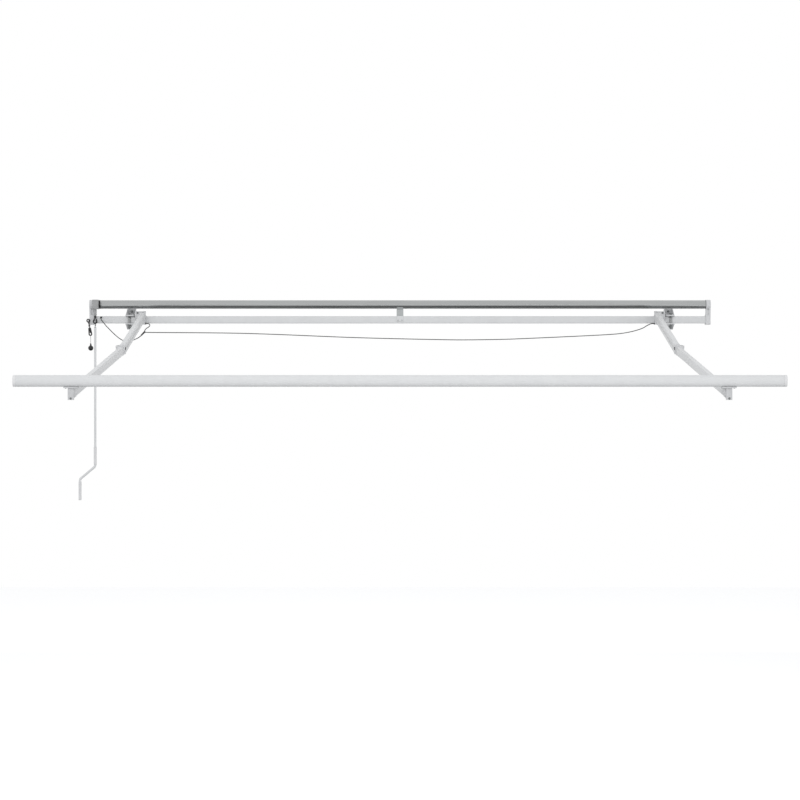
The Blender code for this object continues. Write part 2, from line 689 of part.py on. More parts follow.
def pendant_hook():
    """The snap hook under the bead: a long loop with a gate."""
    top, low = HOOK_TOP, HOOK_LOW
    direction = Vector((low[0] - top[0], low[1] - top[1]))
    length = direction.length
    lean = math.atan2(direction.x, -direction.y)
    points = []
    for px, pz in arc(0, -0.0045, 0.0045, 0, 180, 6) + arc(0, -length + 0.0075, 0.0072, 180, 360, 8):
        x = top[0] + px * math.cos(lean) - pz * math.sin(lean)
        z = top[1] + px * math.sin(lean) + pz * math.cos(lean)
        points.append((x, PENDANT_Y, z))
    body = wire(points, 0.0030, cyclic=True)
    join(body, bar_between((top[0] + 0.001, PENDANT_Y, top[1] - 0.004),
                           (low[0] - 0.001, PENDANT_Y, low[1] + 0.012), 0.0034, 0.0022))
    piece("pendant_hook", body, BLACK)


def pendant_cord():
    stops = [CORD_TOP, (-1.7421, -0.1010), (-1.7419, -0.1120), (-1.7417, -0.1230), CORD_END]
    points = [(x, PENDANT_Y, z) for x, z in stops]
    piece("pendant_cord", wire(smooth_route(points, 3), CORD_R, resolution=1), CABLE_GREY)


def pendant_ball():
    """The pull at the cord's end: a cone that runs into a ball."""
    top = CORD_END[1] - GAP
    profile = [(0.0, top), (0.0030, top), (0.0036, top - 0.0020), (0.0046, top - 0.0110)]
    centre, r = top - 0.0265, 0.0145
    profile += [(r * math.sin(math.radians(a)), centre + r * math.cos(math.radians(a)))
                for a in (32, 50, 70, 90, 110, 130, 150, 168)]
    profile.append((0.0, centre - r))
    piece("pendant_ball", turned(profile, "Z", (CORD_END[0], PENDANT_Y), steps=20), BLACK)


# Arms


def shoulder_clamp(side, name):
    """A block on the torsion bar with two ears, each with an arc slot for the pitch lock."""
    near, far = side * 1.436, side * 1.490
    pivot_y, pivot_z = PITCH_PIVOT
    front = BAR_Y - 0.0263
    ring = prism([rounded(BAR_Y, 0, 0.0526, 0.0526, 0.005), rounded(BAR_Y, 0, 2 * SEAT, 2 * SEAT, 0.003)],
                 near, far, "X")
    rim = [p for y, z in arc(pivot_y, pivot_z, LOCK_RADIUS, *SLOT_ANGLES, 2) for p in circle(y, z, 0.0068)]
    ear = hull(circle(pivot_y, pivot_z, 0.0128) + rim + [(front + 0.003, -0.014), (front + 0.003, 0.024)])
    for a, b in ((near, near + side * 0.009), (far - side * 0.009, far)):
        join(ring, prism([ear], a, b, "X"))
    inner = hull([(front + 0.001, 0.010), (front + 0.001, 0.0262), (front - 0.004, 0.0262)])
    join(ring, prism([inner], near + side * 0.008, far - side * 0.008, "X"))
    start, end = SLOT_ANGLES
    slot = arc(pivot_y, pivot_z, LOCK_RADIUS + SLOT_HALF_W, start, end, 4)
    slot += arc(pivot_y, pivot_z, LOCK_RADIUS - SLOT_HALF_W, end, start, 4)
    cut(ring, prism([slot], side * 1.42, side * 1.50, "X"))
    bolt = cylinder(0.0045, *sorted((near + side * 0.002, far - side * 0.002)), "X", PITCH_PIVOT, steps=12)
    join(ring, bolt, hexagon(0.0075, *sorted((far - side * 0.001, far + side * 0.0050)), "X", PITCH_PIVOT),
         hexagon(0.0046, *sorted((far - side * 0.001, far + side * 0.0045)), "X", (front - 0.004, 0.004)))
    piece("shoulder_clamp_" + name, ring, WHITE)


def cable_gland(side, name):
    """The small gland on the clamp's inner side where the lights' lead goes in."""
    start = side * (1.436 - GAP)
    profile = cylinder(0.0045, *sorted((start, start - side * 0.0025)), "X", GLAND_AT)
    join(profile, cylinder(0.0034, *sorted((start - side * 0.0020, start - side * 0.0060)), "X", GLAND_AT))
    piece("cable_gland_" + name, profile, PLASTIC_GREY)


def shoulder_swivel(side, name, plane):
    """The swivel between the ears: a hub with the lock bolt, and the fork that holds the arm."""
    x = side * SHOULDER_X
    near, far = side * 1.4453, side * 1.4807
    back = PITCH_BACK

    def local(world_x):
        return world_x - x

    lock = Matrix.Rotation(-TILT, 2) @ Vector((0.0, LOCK_RADIUS))
    lock_at = (back + lock.x, lock.y)
    hub = hull(circle(back, 0, 0.0110) + circle(lock_at[0], lock_at[1], 0.0056))
    body = prism([hub, circle(back, 0, 0.0049)], local(near), local(far), "X", plane)
    join(body, block((local(near + side * 0.0005), back - 0.0060, -0.0095),
                     (local(far - side * 0.0005), 0.0210, 0.0095), plane),
         block((local(side * 1.4290), 0.0265, -0.0237), (local(side * 1.4795), 0.0180, 0.0237), plane,
               bevel=0.0012))
    for low, high in ((LUG_INNER, 0.0230), (-0.0230, -LUG_INNER)):
        lug = hull(circle(0, 0, 0.0140) + [(-0.0128, 0.0200), (0.0128, 0.0200)])
        join(body, prism([lug, circle(0, 0, 0.0053)], low, high, "Z", plane))
    bolt_ends = sorted((local(side * 1.4345), local(side * 1.4925)))
    join(body, cylinder(0.0029, *bolt_ends, "X", lock_at, plane, steps=10),
         hexagon(0.0058, *sorted((local(side * 1.4903), local(side * 1.4955))), "X", lock_at, plane),
         hexagon(0.0058, *sorted((local(side * 1.4357), local(side * 1.4305))), "X", lock_at, plane))
    piece("shoulder_swivel_" + name, body, WHITE)


def hinge_pin(label, at, half, parent):
    """A pin with a domed head and a clip at its two ends."""
    body = cylinder(0.0050, -half - 0.002, half + 0.001, "Z", at, parent)
    join(body, cylinder(0.0082, half + GAP, half + 0.0028, "Z", at, parent, top_r=0.0062),
         cylinder(0.0070, -half - 0.0026, -half - GAP, "Z", at, parent))
    piece(label, body, STEEL)


def arm_plug(x, start, end, width, height, parent):
    """The spigot of a cast arm end that goes into the profile."""
    return block((x - width / 2, start, -height / 2), (x + width / 2, end, height / 2), parent, bevel=0.0015)


def knuckle(at, block_x, block_y, width, r, parent):
    outline = hull(circle(at[0], at[1], r)
                   + [(block_x - width / 2, block_y), (block_x + width / 2, block_y)])
    return prism([outline], -KNUCKLE_HALF, KNUCKLE_HALF, "Z", parent)


def arm_profile(x, start, end, width, height, side, groove, parent):
    """An extruded arm tube, with a groove for the light strip on its inner side where it has one."""
    wall = 0.0020
    outer = rounded(0, x, height, width, 0.004)
    if not groove:
        inner = rounded(0, x, height - 2 * wall, width - 2 * wall, 0.002)
        return prism([outer, inner], start, end, "Y", parent)
    depth = 0.0024
    inner = rounded(0, x + side * depth / 2, height - 2 * wall, width - 2 * wall - depth, 0.002)
    body = prism([outer, inner], start, end, "Y", parent)
    face = x - side * width / 2
    groove_cut = block((face - side * 0.001, start - 0.001, -STRIP_H / 2),
                       (face + side * depth, end + 0.001, STRIP_H / 2), parent)
    return cut(body, groove_cut)


def arm(side, name, tilt_frame):
    """Both links of one arm, its elbow, the spring inside and the light strip on the inner side."""
    lean_in = math.asin(ELBOW_IN / UPPER_LENGTH) + math.asin(ELBOW_SIDE / UPPER_LENGTH)
    upper = frame("upper_frame_" + name, (0, 0, 0), turn_z=-side * lean_in, parent=tilt_frame)
    reach = math.sqrt(UPPER_LENGTH ** 2 - ELBOW_SIDE ** 2)
    elbow = (side * ELBOW_SIDE, -reach)

    body = knuckle((0, 0), 0, -0.0220, UPPER_W, 0.0138, upper)
    join(body, block((-UPPER_W / 2, -0.0200, -UPPER_H / 2), (UPPER_W / 2, -0.0500, UPPER_H / 2), upper,
                     bevel=0.002),
         arm_plug(side * 0.0012, -0.0490, -0.0900, UPPER_W - 0.0068, UPPER_H - 0.0046, upper))
    cut(body, cylinder(0.0053, -0.04, 0.04, "Z", (0, 0), upper))
    piece("shoulder_knuckle_" + name, body, WHITE)
    hinge_pin("shoulder_pin_" + name, (0, 0), 0.0230, tilt_frame)

    profile_end = elbow[1] + 0.0450
    piece("upper_arm_" + name,
          arm_profile(0, -0.0503, profile_end + GAP, UPPER_W, UPPER_H, side, True, upper), WHITE)
    face = -side * UPPER_W / 2
    strip = block((face, -0.0540, -STRIP_H / 2 + GAP),
                  (face + side * 0.0021, profile_end + 0.0040, STRIP_H / 2 - GAP), upper)
    piece("light_strip_" + name, strip, PLASTIC_WHITE)
    arm_spring(side, name, upper, -0.0903, profile_end + 0.0403)

    fork = block((-UPPER_W / 2, elbow[1] + 0.0200, -UPPER_H / 2),
                 (UPPER_W / 2, profile_end, UPPER_H / 2), upper, bevel=0.002)
    join(fork, arm_plug(side * 0.0012, profile_end - 0.001, profile_end + 0.0400, UPPER_W - 0.0068,
                        UPPER_H - 0.0046, upper))
    for low, high in ((LUG_INNER, 0.0230), (-0.0230, -LUG_INNER)):
        lug = hull(circle(*elbow, 0.0140) + [(-UPPER_W / 2 + 0.001, elbow[1] + 0.0220),
                                             (UPPER_W / 2 - 0.001, elbow[1] + 0.0300)])
        join(fork, prism([lug], low, high, "Z", upper))
    cut(fork, cylinder(0.0053, -0.04, 0.04, "Z", elbow, upper),
        cylinder(0.0042, *sorted((face - side * 0.002, face + side * 0.005)), "X", (elbow[1] + 0.0320, 0.004),
                 upper, steps=12))
    piece("elbow_fork_" + name, fork, WHITE)
    hinge_pin("elbow_pin_" + name, elbow, 0.0230, upper)

    fore_in = math.asin((ELBOW_IN + FRONT_PIVOT_X - SHOULDER_X) / FORE_LENGTH)
    fore_lean = fore_in + math.asin(ELBOW_SIDE / FORE_LENGTH)
    fore = frame("fore_frame_" + name, (*elbow, 0), turn_z=side * (lean_in + fore_lean), parent=upper)
    fore_reach = math.sqrt(FORE_LENGTH ** 2 - ELBOW_SIDE ** 2)
    cx = -side * ELBOW_SIDE
    tongue = knuckle((0, 0), cx, -0.0200, FORE_W, 0.0130, fore)
    join(tongue, block((cx - FORE_W / 2, -0.0180, -FORE_H / 2), (cx + FORE_W / 2, -0.0400, FORE_H / 2), fore,
                       bevel=0.002),
         arm_plug(cx, -0.0390, -0.0750, FORE_W - 0.0046, FORE_H - 0.0046, fore))
    cut(tongue, cylinder(0.0053, -0.04, 0.04, "Z", (0, 0), fore))
    piece("elbow_tongue_" + name, tongue, WHITE)
    fore_end = -fore_reach + 0.0450
    piece("forearm_" + name,
          arm_profile(cx, -0.0403, fore_end + GAP, FORE_W, FORE_H, side, False, fore), WHITE)
    nose = knuckle((cx, -fore_reach), cx, -fore_reach + 0.0210, FORE_W, 0.0125, fore)
    join(nose, block((cx - FORE_W / 2, -fore_reach + 0.0180, -FORE_H / 2),
                     (cx + FORE_W / 2, fore_end, FORE_H / 2), fore, bevel=0.002),
         arm_plug(cx, fore_end - 0.001, fore_end + 0.0350, FORE_W - 0.0046, FORE_H - 0.0046, fore))
    cut(nose, cylinder(0.0080, -0.04, 0.04, "Z", (cx, -fore_reach), fore))
    piece("front_knuckle_" + name, nose, WHITE)
    return upper, fore, (cx, -fore_reach)


def arm_spring(side, name, parent, start, end):
    """The tension spring inside the upper arm and the steel cord that runs on to the elbow."""
    turns, per_turn = 10, 6
    radius, x = 0.0072, side * 0.0012
    first, last = start - 0.030, start - 0.230
    points = [(x, start, 0.0), (x, first + 0.006, 0.0)]
    for i in range(turns * per_turn + 1):
        a = 2 * math.pi * i / per_turn
        along = first + (last - first) * i / (turns * per_turn)
        points.append((x + radius * math.cos(a), along, radius * math.sin(a)))
    points += [(x, last - 0.006, 0.0), (x, end, 0.0)]
    piece("arm_spring_" + name, wire(points, 0.0013, parent, resolution=0), STEEL)


# Front bar


def front_profile(shrink=0.0):
    """The bar's section: a bowed front, a flat back, and a cloth channel at the top and the bottom."""
    back = FRONT_Y + FRONT_D / 2 - shrink
    low, high = FRONT_Z - FRONT_H / 2 + shrink, FRONT_Z + FRONT_H / 2 - shrink
    bow = FRONT_D * 0.42
    corner = 0.003
    points = arc(back - corner, low + corner, corner, -90, 0, 2)
    points += arc(back - corner, high - corner, corner, 0, 90, 2)
    front = []
    for i in range(11):
        a = math.radians(90 + 18 * i)
        front.append((back - FRONT_D + bow + 2 * shrink + bow * math.cos(a),
                      (low + high) / 2 + (high - low) / 2 * math.sin(a)))
    return points + front


def channel(centre_y, centre_z, up):
    """The cutter of a cloth channel: a slit and the round groove behind it."""
    groove = cylinder(0.0036, -HALF_WIDTH, HALF_WIDTH, "X", (centre_y, centre_z), steps=14)
    slit = block((-HALF_WIDTH, centre_y - 0.0014, centre_z),
                 (HALF_WIDTH, centre_y + 0.0014, centre_z + up * 0.02))
    return groove, slit


def front_bar():
    """The extruded bar: one hollow, with a wall kept round each cloth channel."""
    end = HALF_WIDTH - CAP_T - GAP
    low, high = FRONT_Z - FRONT_H / 2, FRONT_Z + FRONT_H / 2
    back = FRONT_Y + FRONT_D / 2
    hollow = prism([front_profile(0.0022)], -HALF_WIDTH, HALF_WIDTH, "X")
    body = prism([front_profile()], -end, end, "X")
    for y, z, up in ((back - 0.0090, high - 0.0056, 1), (FRONT_Y + 0.002, low + 0.0056, -1)):
        cut(hollow, cylinder(0.0056, -1.1 * HALF_WIDTH, 1.1 * HALF_WIDTH, "X", (y, z)))
        cut(body, *channel(y, z, up))
    piece("front_bar", cut(body, hollow), WHITE)


def front_cap(side, name):
    """A moulded cap: a plate over the bar's end and a spigot inside it."""
    inner = side * (HALF_WIDTH - CAP_T)
    plate = prism([front_profile()], inner, side * HALF_WIDTH, "X")
    bevel = plate.modifiers.new("edges", "BEVEL")
    bevel.width = 0.0016
    bevel.segments = 2
    bevel.limit_method = "ANGLE"
    bevel.angle_limit = math.radians(50)
    spigot = block((inner + side * 0.001, FRONT_Y - 0.013, FRONT_Z - 0.0135),
                   (inner - side * 0.025, FRONT_Y + 0.0195, FRONT_Z + 0.0135))
    piece("front_cap_" + name, join(plate, spigot), PLASTIC_WHITE)


def front_bracket(side, name, pivot):
    """The bracket under the front bar: a screwed plate and the fork that holds the forearm's nose."""
    x = side * FRONT_PIVOT_X
    under = FRONT_Z - FRONT_H / 2 - GAP
    tilted = frame("front_frame_" + name, pivot, turn_x=TILT)
    body = prism([rounded(x, FRONT_Y + 0.001, 0.0656, 0.0400, 0.004)], under - 0.0055, under, "Z")
    web_front = pivot.y - 0.0300
    join(body, block((x - 0.0135, web_front, under - 0.005), (x + 0.0135, pivot.y - 0.0165, -0.4527),
                     bevel=0.0015))
    for low, high in ((LUG_INNER, 0.0205), (-0.0205, -LUG_INNER)):
        lug = hull(circle(0, 0, 0.0130, 15) + [(-0.0124, -0.0200), (0.0124, -0.0200)])
        join(body, prism([lug], low, high, "Z", tilted))
    join(body, block((x - 0.0128, pivot.y - 0.0180, under - 0.004),
                     (x + 0.0128, pivot.y + 0.0040, pivot.z + 0.0180)),
         cylinder(PIN_R, -0.0170, 0.0160, "Z", (0, 0), tilted, steps=12),
         cylinder(0.0076, -0.0232, -0.0181, "Z", (0, 0), tilted, steps=12))
    for dx in (-0.0250, 0.0250):
        join(body, cylinder(0.0045, under - 0.0080, under - 0.0050, "Z", (x + dx, FRONT_Y + 0.001), steps=14))
    cut(body, cylinder(0.0040, web_front - 0.002, web_front + 0.004, "Y", (-0.4455, x + side * 0.0060)))
    piece("front_bracket_" + name, body, WHITE)


# Lead of the arms' lights


def cords():
    """The lead from the grommet to the splitter, and its two branches to the clamps."""
    supply = [LEAD_START, (GROMMET_X, -0.0880, GROMMET_Z), (-1.6845, -0.0935, 0.0085),
              (-1.6825, -0.0955, 0.0000), (-1.6710, -0.0945, -0.0150), (-1.6540, -0.0930, -0.0360),
              (-1.6330, -0.0910, -0.0580),
              (-1.6110, -0.0890, -0.0800), (-1.5860, -0.0860, -0.1020), (-1.5610, -0.0820, -0.1170),
              (-1.5350, -0.0780, -0.1225), (-1.5080, -0.0750, -0.1160), (-1.4850, -0.0725, -0.1060),
              (-1.4720, -0.0710, -0.0985), SPLITTER_IN]
    piece("supply_lead", wire(smooth_route(supply), LEAD_R, resolution=1), CABLE_GREY)
    middle = Vector(SPLITTER_OUT)
    inlet = Vector(SPLITTER_IN) + (middle - Vector(SPLITTER_IN)).normalized() * GAP
    body = bar_between(inlet, middle, 0.0042, 0.0050)
    up, along = Vector((0.35, 0.0, 1.0)).normalized(), Vector((1.0, 0.0, -0.05)).normalized()
    join(body, ball(middle, 0.0048), bar_between(middle, middle + up * NOZZLE, 0.0032, 0.0030),
         bar_between(middle, middle + along * NOZZLE, 0.0032, 0.0030))
    piece("cable_splitter", body, BLACK)
    gland_y, gland_z = GLAND_AT
    branch = [middle + up * (NOZZLE + GAP), middle + up * (NOZZLE + 0.006), (-1.4320, -0.0715, -0.0500),
              (-1.4210, -0.0760, -0.0430), (-1.4120, -0.0800, -0.0360), (-1.4105, -0.0820, -0.0280),
              (-1.4170, -0.0823, -0.0232), (-1.4240, gland_y, gland_z), (-1.4293, gland_y, gland_z)]
    piece("cable_branch_left", wire(smooth_route(branch), LEAD_R, resolution=1), CABLE_GREY)
    run = [middle + along * (NOZZLE + GAP), middle + along * 0.030, (-1.3000, -0.0680, -0.0722),
           (-1.1000, -0.0680, -0.0735), (-0.9032, -0.0680, -0.0762), (-0.6887, -0.0680, -0.0830),
           (-0.4714, -0.0680, -0.0920), (-0.2540, -0.0680, -0.1005),
           (0.0000, -0.0680, -0.1073), (0.2200, -0.0680, -0.1118), (0.3610, -0.0680, -0.1135),
           (0.5758, -0.0680, -0.1105), (0.7226, -0.0680, -0.1050), (0.9370, -0.0680, -0.0955),
           (1.1230, -0.0678, -0.0864), (1.2360, -0.0675, -0.0785), (1.3096, -0.0670, -0.0660),
           (1.3650, -0.0740, -0.0490), (1.3930, -0.0790, -0.0330), (1.4100, -0.0817, -0.0250),
           (1.4230, gland_y, gland_z), (1.4293, gland_y, gland_z)]
    piece("cable_run_right", wire(smooth_route(run), LEAD_R, resolution=1), CABLE_GREY)


def build():
    torsion_bar()
    cable_grommet()
    gear_housing()
    roller_support()
    roller_tube()
    roller_plug_left()
    roller_plug_right()
    worm_wheel()
    crank_worm()
    crank_eye()
    crank_hook()
    crank_rod()
    grip("grip_upper", WORM_X, -0.7203, -0.8137)
    grip("grip_lower", WORM_X - CRANK_OFFSET, -0.9163, CRANK_END_Z + 0.0043)
    pendant_ring()
    pendant_hook()
    pendant_cord()
    pendant_ball()
    front_bar()
    for side, name in ((-1, "left"), (1, "right")):
        wall_bracket(side, name)
        bar_lock_bolt(side, name)
        end_bracket(side, name)
        shoulder_clamp(side, name)
        cable_gland(side, name)
        plane = frame("shoulder_frame_" + name, (side * SHOULDER_X, SHOULDER_Y, SHOULDER_Z), turn_x=TILT)
        shoulder_swivel(side, name, plane)
        upper, fore, nose = arm(side, name, plane)
        bpy.context.view_layer.update()
        pivot = fore.matrix_world @ Vector((*nose, 0.0))
        front_cap(side, name)
        front_bracket(side, name, pivot)
    cords()


build()
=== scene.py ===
"""Looks of a folding arm awning frame: fine castings, profiles, bolts, leads and their finishes."""
import math

import bmesh
import bpy
from mathutils import Matrix, Vector


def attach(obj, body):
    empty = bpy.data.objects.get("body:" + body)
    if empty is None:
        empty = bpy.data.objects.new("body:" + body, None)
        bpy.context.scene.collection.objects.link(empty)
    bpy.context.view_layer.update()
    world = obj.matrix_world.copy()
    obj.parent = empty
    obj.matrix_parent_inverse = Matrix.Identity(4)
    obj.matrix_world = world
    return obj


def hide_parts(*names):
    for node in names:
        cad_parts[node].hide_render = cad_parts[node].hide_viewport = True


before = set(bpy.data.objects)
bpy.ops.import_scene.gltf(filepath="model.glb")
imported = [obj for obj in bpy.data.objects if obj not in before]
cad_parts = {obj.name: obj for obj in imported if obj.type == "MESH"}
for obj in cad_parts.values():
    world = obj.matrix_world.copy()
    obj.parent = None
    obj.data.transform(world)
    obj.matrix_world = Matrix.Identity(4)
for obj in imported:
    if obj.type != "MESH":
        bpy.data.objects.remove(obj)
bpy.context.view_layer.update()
SCENE = bpy.context.scene
SCENE.view_settings.view_transform = "Standard"

# Sizes shared by the pieces, in metres
GAP = 0.0003
HALF_WIDTH = 1.750
BAR_SIZE = 0.040
BAR_Y = -0.060
BAR_END = 1.735
BAR_FRONT = BAR_Y - BAR_SIZE / 2
SEAT = BAR_SIZE / 2 + GAP
ROLLER_Y, ROLLER_Z, ROLLER_R = -0.072, 0.086, 0.0242
ROLLER_AXIS = (ROLLER_Y, ROLLER_Z)
ROLLER_LEFT, ROLLER_RIGHT = -1.6886, 1.7222
END_X = 1.7505
BRACKET_X, BRACKET_W = 1.521, 0.050
BRACKET_TOP, BRACKET_BOTTOM = 0.064, -0.053
PLATE_T, JAW_T = 0.007, 0.008
WALL_BOLT_Z = (0.0497, -0.0406)
LOCK_BOLT_Y = -0.0885
LOCK_BOLT_X = BRACKET_X + 0.005
WORM_X, WORM_Y = -1.7152, -0.1015
TILT = math.radians(10.7)
SHOULDER_X, SHOULDER_Y, SHOULDER_Z = 1.442, -0.145, 0.015
FRONT_PIVOT_X = 1.488
ELBOW_IN, ELBOW_SIDE = 0.012, 0.019
UPPER_LENGTH, FORE_LENGTH = 1.156, 1.203
UPPER_W, UPPER_H, FORE_W, FORE_H = 0.026, 0.050, 0.024, 0.042
LUG_INNER = 0.0125
KNUCKLE_HALF = LUG_INNER - GAP
PIN_R = 0.0050
STRIP_H = 0.0120
PITCH_BACK = 0.041
PITCH_PIVOT = (SHOULDER_Y + PITCH_BACK * math.cos(TILT), SHOULDER_Z + PITCH_BACK * math.sin(TILT))
LOCK_RADIUS = 0.018
SLOT_ANGLES = (74, 121)
FRONT_Y, FRONT_Z, FRONT_H, FRONT_D, CAP_T = -2.480, -0.3663, 0.0528, 0.045, 0.0135
EYE_R, EYE_HALF_W, EYE_BOTTOM, EYE_TOP = 0.0041, 0.0094, -0.0202, 0.0120
HOOK_R, ROD_R, ROD_TOP = 0.0035, 0.0066, -0.0466
CRANK_BEND_Z, CRANK_OFFSET, CRANK_LOW_Z, CRANK_END_Z = -0.826, 0.0853, -0.898, -1.016
PEG_X, PEG_Z = -1.7556, -0.0040
PEG_REAR, PEG_FRONT, PENDANT_Y = BAR_Y - 0.026, BAR_Y - 0.040, BAR_Y - 0.0330
PEG_R = 0.0020
PENDANT_LEAN = math.radians(12.0)
RING_MAJOR, RING_MINOR = 0.0076, 0.0035
HOOK_TOP, HOOK_LOW = (-1.7482, -0.0467), (-1.7424, -0.0885)
CORD_TOP, CORD_END = (-1.7422, -0.0918), (-1.7416, -0.1335)
GLAND_Y, GLAND_Z = BAR_Y - 0.0223, -0.0223
FINE = 40

# Camera at the photograph's angle
VIEW_DISTANCE, VIEW_HEIGHT, LENS = 12.22, -0.4527, 96.9
camera_data = bpy.data.cameras.new("camera")
camera_data.lens = LENS
camera_data.sensor_width = 36.0
camera_data.clip_end = 60.0
camera = bpy.data.objects.new("camera", camera_data)
camera.location = (0.0, -VIEW_DISTANCE, VIEW_HEIGHT)
camera.rotation_euler = (math.radians(90), 0.0, 0.0)
SCENE.collection.objects.link(camera)
SCENE.camera = camera


# Finishes

def wired(tree, kind, inputs=(), **props):
    """A shader node with its settings; an input is a value or another node's output."""
    node = tree.nodes.new(kind)
    for key, value in props.items():
        setattr(node, key, value)
    for key, value in dict(inputs).items():
        if isinstance(value, bpy.types.NodeSocket):
            tree.links.new(value, node.inputs[key])
        else:
            node.inputs[key].default_value = value
    return node


def surface(name, colour, rough, metal=0.0, grain=900.0, depth=0.00002, vary=0.05, stretch=(1, 1, 1),
            patch=14.0, rough_vary=0.08, coat=0.0):
    """A finish with a fine grain bump, broad patches of tone and uneven gloss, all on Object coordinates."""
    material = bpy.data.materials.new(name)
    material.use_nodes = True
    tree = material.node_tree
    shader = tree.nodes["Principled BSDF"]
    place = wired(tree, "ShaderNodeTexCoord").outputs["Object"]
    grain_place = wired(tree, "ShaderNodeMapping", {"Vector": place, "Scale": stretch}).outputs["Vector"]
    fine = wired(tree, "ShaderNodeTexNoise", {"Vector": grain_place, "Scale": grain, "Detail": 3.0}).outputs[0]
    broad = wired(tree, "ShaderNodeTexNoise", {"Vector": grain_place, "Scale": patch, "Detail": 4.0,
                                               "Roughness": 0.6}).outputs[0]
    both = wired(tree, "ShaderNodeMath", {0: fine, 1: 0.35}, operation="MULTIPLY").outputs[0]
    both = wired(tree, "ShaderNodeMath", {0: both, 1: broad}, operation="ADD").outputs[0]
    tone = wired(tree, "ShaderNodeValToRGB", {"Fac": both})
    dark = [c * (1.0 - vary) for c in colour]
    light = [min(c * (1.0 + vary * 0.6), 1.0) for c in colour]
    tone.color_ramp.elements[0].position = 0.45
    tone.color_ramp.elements[1].position = 0.90
    tone.color_ramp.elements[0].color = (*dark, 1.0)
    tone.color_ramp.elements[1].color = (*light, 1.0)
    tree.links.new(tone.outputs["Color"], shader.inputs["Base Color"])
    gloss = wired(tree, "ShaderNodeMapRange", {"Value": broad, "From Min": 0.3, "From Max": 0.7,
                                               "To Min": rough - rough_vary, "To Max": rough + rough_vary})
    tree.links.new(gloss.outputs["Result"], shader.inputs["Roughness"])
    bump = wired(tree, "ShaderNodeBump", {"Height": fine, "Distance": depth, "Strength": 1.0})
    tree.links.new(bump.outputs["Normal"], shader.inputs["Normal"])
    shader.inputs["Metallic"].default_value = metal
    if coat:
        shader.inputs["Coat Weight"].default_value = coat
        shader.inputs["Coat Roughness"].default_value = 0.25
    return material


WHITE_COAT = surface("white_powder_coat", (0.740, 0.748, 0.752), 0.42, grain=1100, depth=0.000012, vary=0.035,
                     coat=0.15)
CAST_COAT = surface("white_coated_casting", (0.700, 0.705, 0.712), 0.48, grain=700, depth=0.00003, vary=0.06)
ROLLED_ZINC = surface("rolled_zinc", (0.43, 0.44, 0.44), 0.28, metal=1.0, grain=420, depth=0.0000001, vary=0.08,
                      stretch=(0.05, 1, 1), patch=60.0, rough_vary=0.04)
BRIGHT_STEEL = surface("bright_steel", (0.50, 0.51, 0.52), 0.32, metal=1.0, grain=1500, depth=0.000006, vary=0.12)
DARK_STEEL = surface("dark_zinc_bolts", (0.22, 0.23, 0.23), 0.42, metal=0.9, grain=1500, depth=0.00001, vary=0.2)
GREY_CASTING = surface("grey_casting", (0.40, 0.405, 0.405), 0.52, metal=0.35, grain=620, depth=0.00005, vary=0.14)
GREY_MOULDED = surface("grey_moulded", (0.48, 0.50, 0.50), 0.55, grain=1300, depth=0.00002, vary=0.07)
WHITE_MOULDED = surface("white_moulded", (0.780, 0.780, 0.785), 0.45, grain=1300, depth=0.00002, vary=0.04)
DIFFUSER = surface("strip_diffuser", (0.700, 0.705, 0.700), 0.60, grain=1800, depth=0.00002, vary=0.04)
BLACK_MOULDED = surface("black_moulded", (0.020, 0.020, 0.021), 0.42, grain=1300, depth=0.00003, vary=0.3)
CABLE_SHEATH = surface("grey_cable_sheath", (0.045, 0.047, 0.047), 0.55, grain=1500, depth=0.00002, vary=0.12)
BRONZE = surface("worm_bronze", (0.45, 0.30, 0.13), 0.38, metal=1.0, grain=900, depth=0.00001, vary=0.12)
# A darker copy of the casting coat: painted shade for the front brackets, which sit under the front bar
PAINTED_SHADE_CASTING_COAT = surface("casting_coat_painted_shade", (0.610, 0.615, 0.622), 0.50, grain=700, depth=0.00003, vary=0.06)
BLACK_CORD = surface("black_cord", (0.030, 0.030, 0.032), 0.75, grain=2400, depth=0.00004, vary=0.3)
SEAL_RUBBER = surface("dark_rubber", (0.045, 0.045, 0.047), 0.65, grain=1300, depth=0.00003, vary=0.2)


# Outlines

def arc(cx, cy, r, start, end, steps=10):
    angles = [math.radians(start + (end - start) * i / steps) for i in range(steps + 1)]
    return [(cx + r * math.cos(a), cy + r * math.sin(a)) for a in angles]


def circle(cx, cy, r, steps=FINE):
    return arc(cx, cy, r, 0.0, 360.0, steps)[:-1]


def rounded(cx, cy, w, h, r, steps=5):
    x, y = w / 2 - r, h / 2 - r
    corners = ((x, -y, -90), (x, y, 0), (-x, y, 90), (-x, -y, 180))
    return [p for dx, dy, a in corners for p in arc(cx + dx, cy + dy, r, a, a + 90, steps)]


def turn(a, b, c):
    return (b[0] - a[0]) * (c[1] - a[1]) - (b[1] - a[1]) * (c[0] - a[0])


def hull(points):
    """The convex outline round a set of points."""
    ordered = sorted(set(points))
    chains = []
    for run in (ordered, ordered[::-1]):
        chain = []
        for p in run:
            while len(chain) > 1 and turn(chain[-2], chain[-1], p) <= 1e-12:
                chain.pop()
            chain.append(p)
        chains += chain[:-1]
    return chains


# Shapes; each is a loose mesh object whose place is in its mesh

AXES = {
    "X": Matrix(((0, 0, 1), (1, 0, 0), (0, 1, 0))).to_4x4(),
    "Y": Matrix(((0, 1, 0), (0, 0, 1), (1, 0, 0))).to_4x4(),
    "Z": Matrix.Identity(4),
}
HERE = Matrix.Identity(4)


def shape(mesh, place):
    mesh.transform(place)
    obj = bpy.data.objects.new("shape", mesh)
    SCENE.collection.objects.link(obj)
    return obj


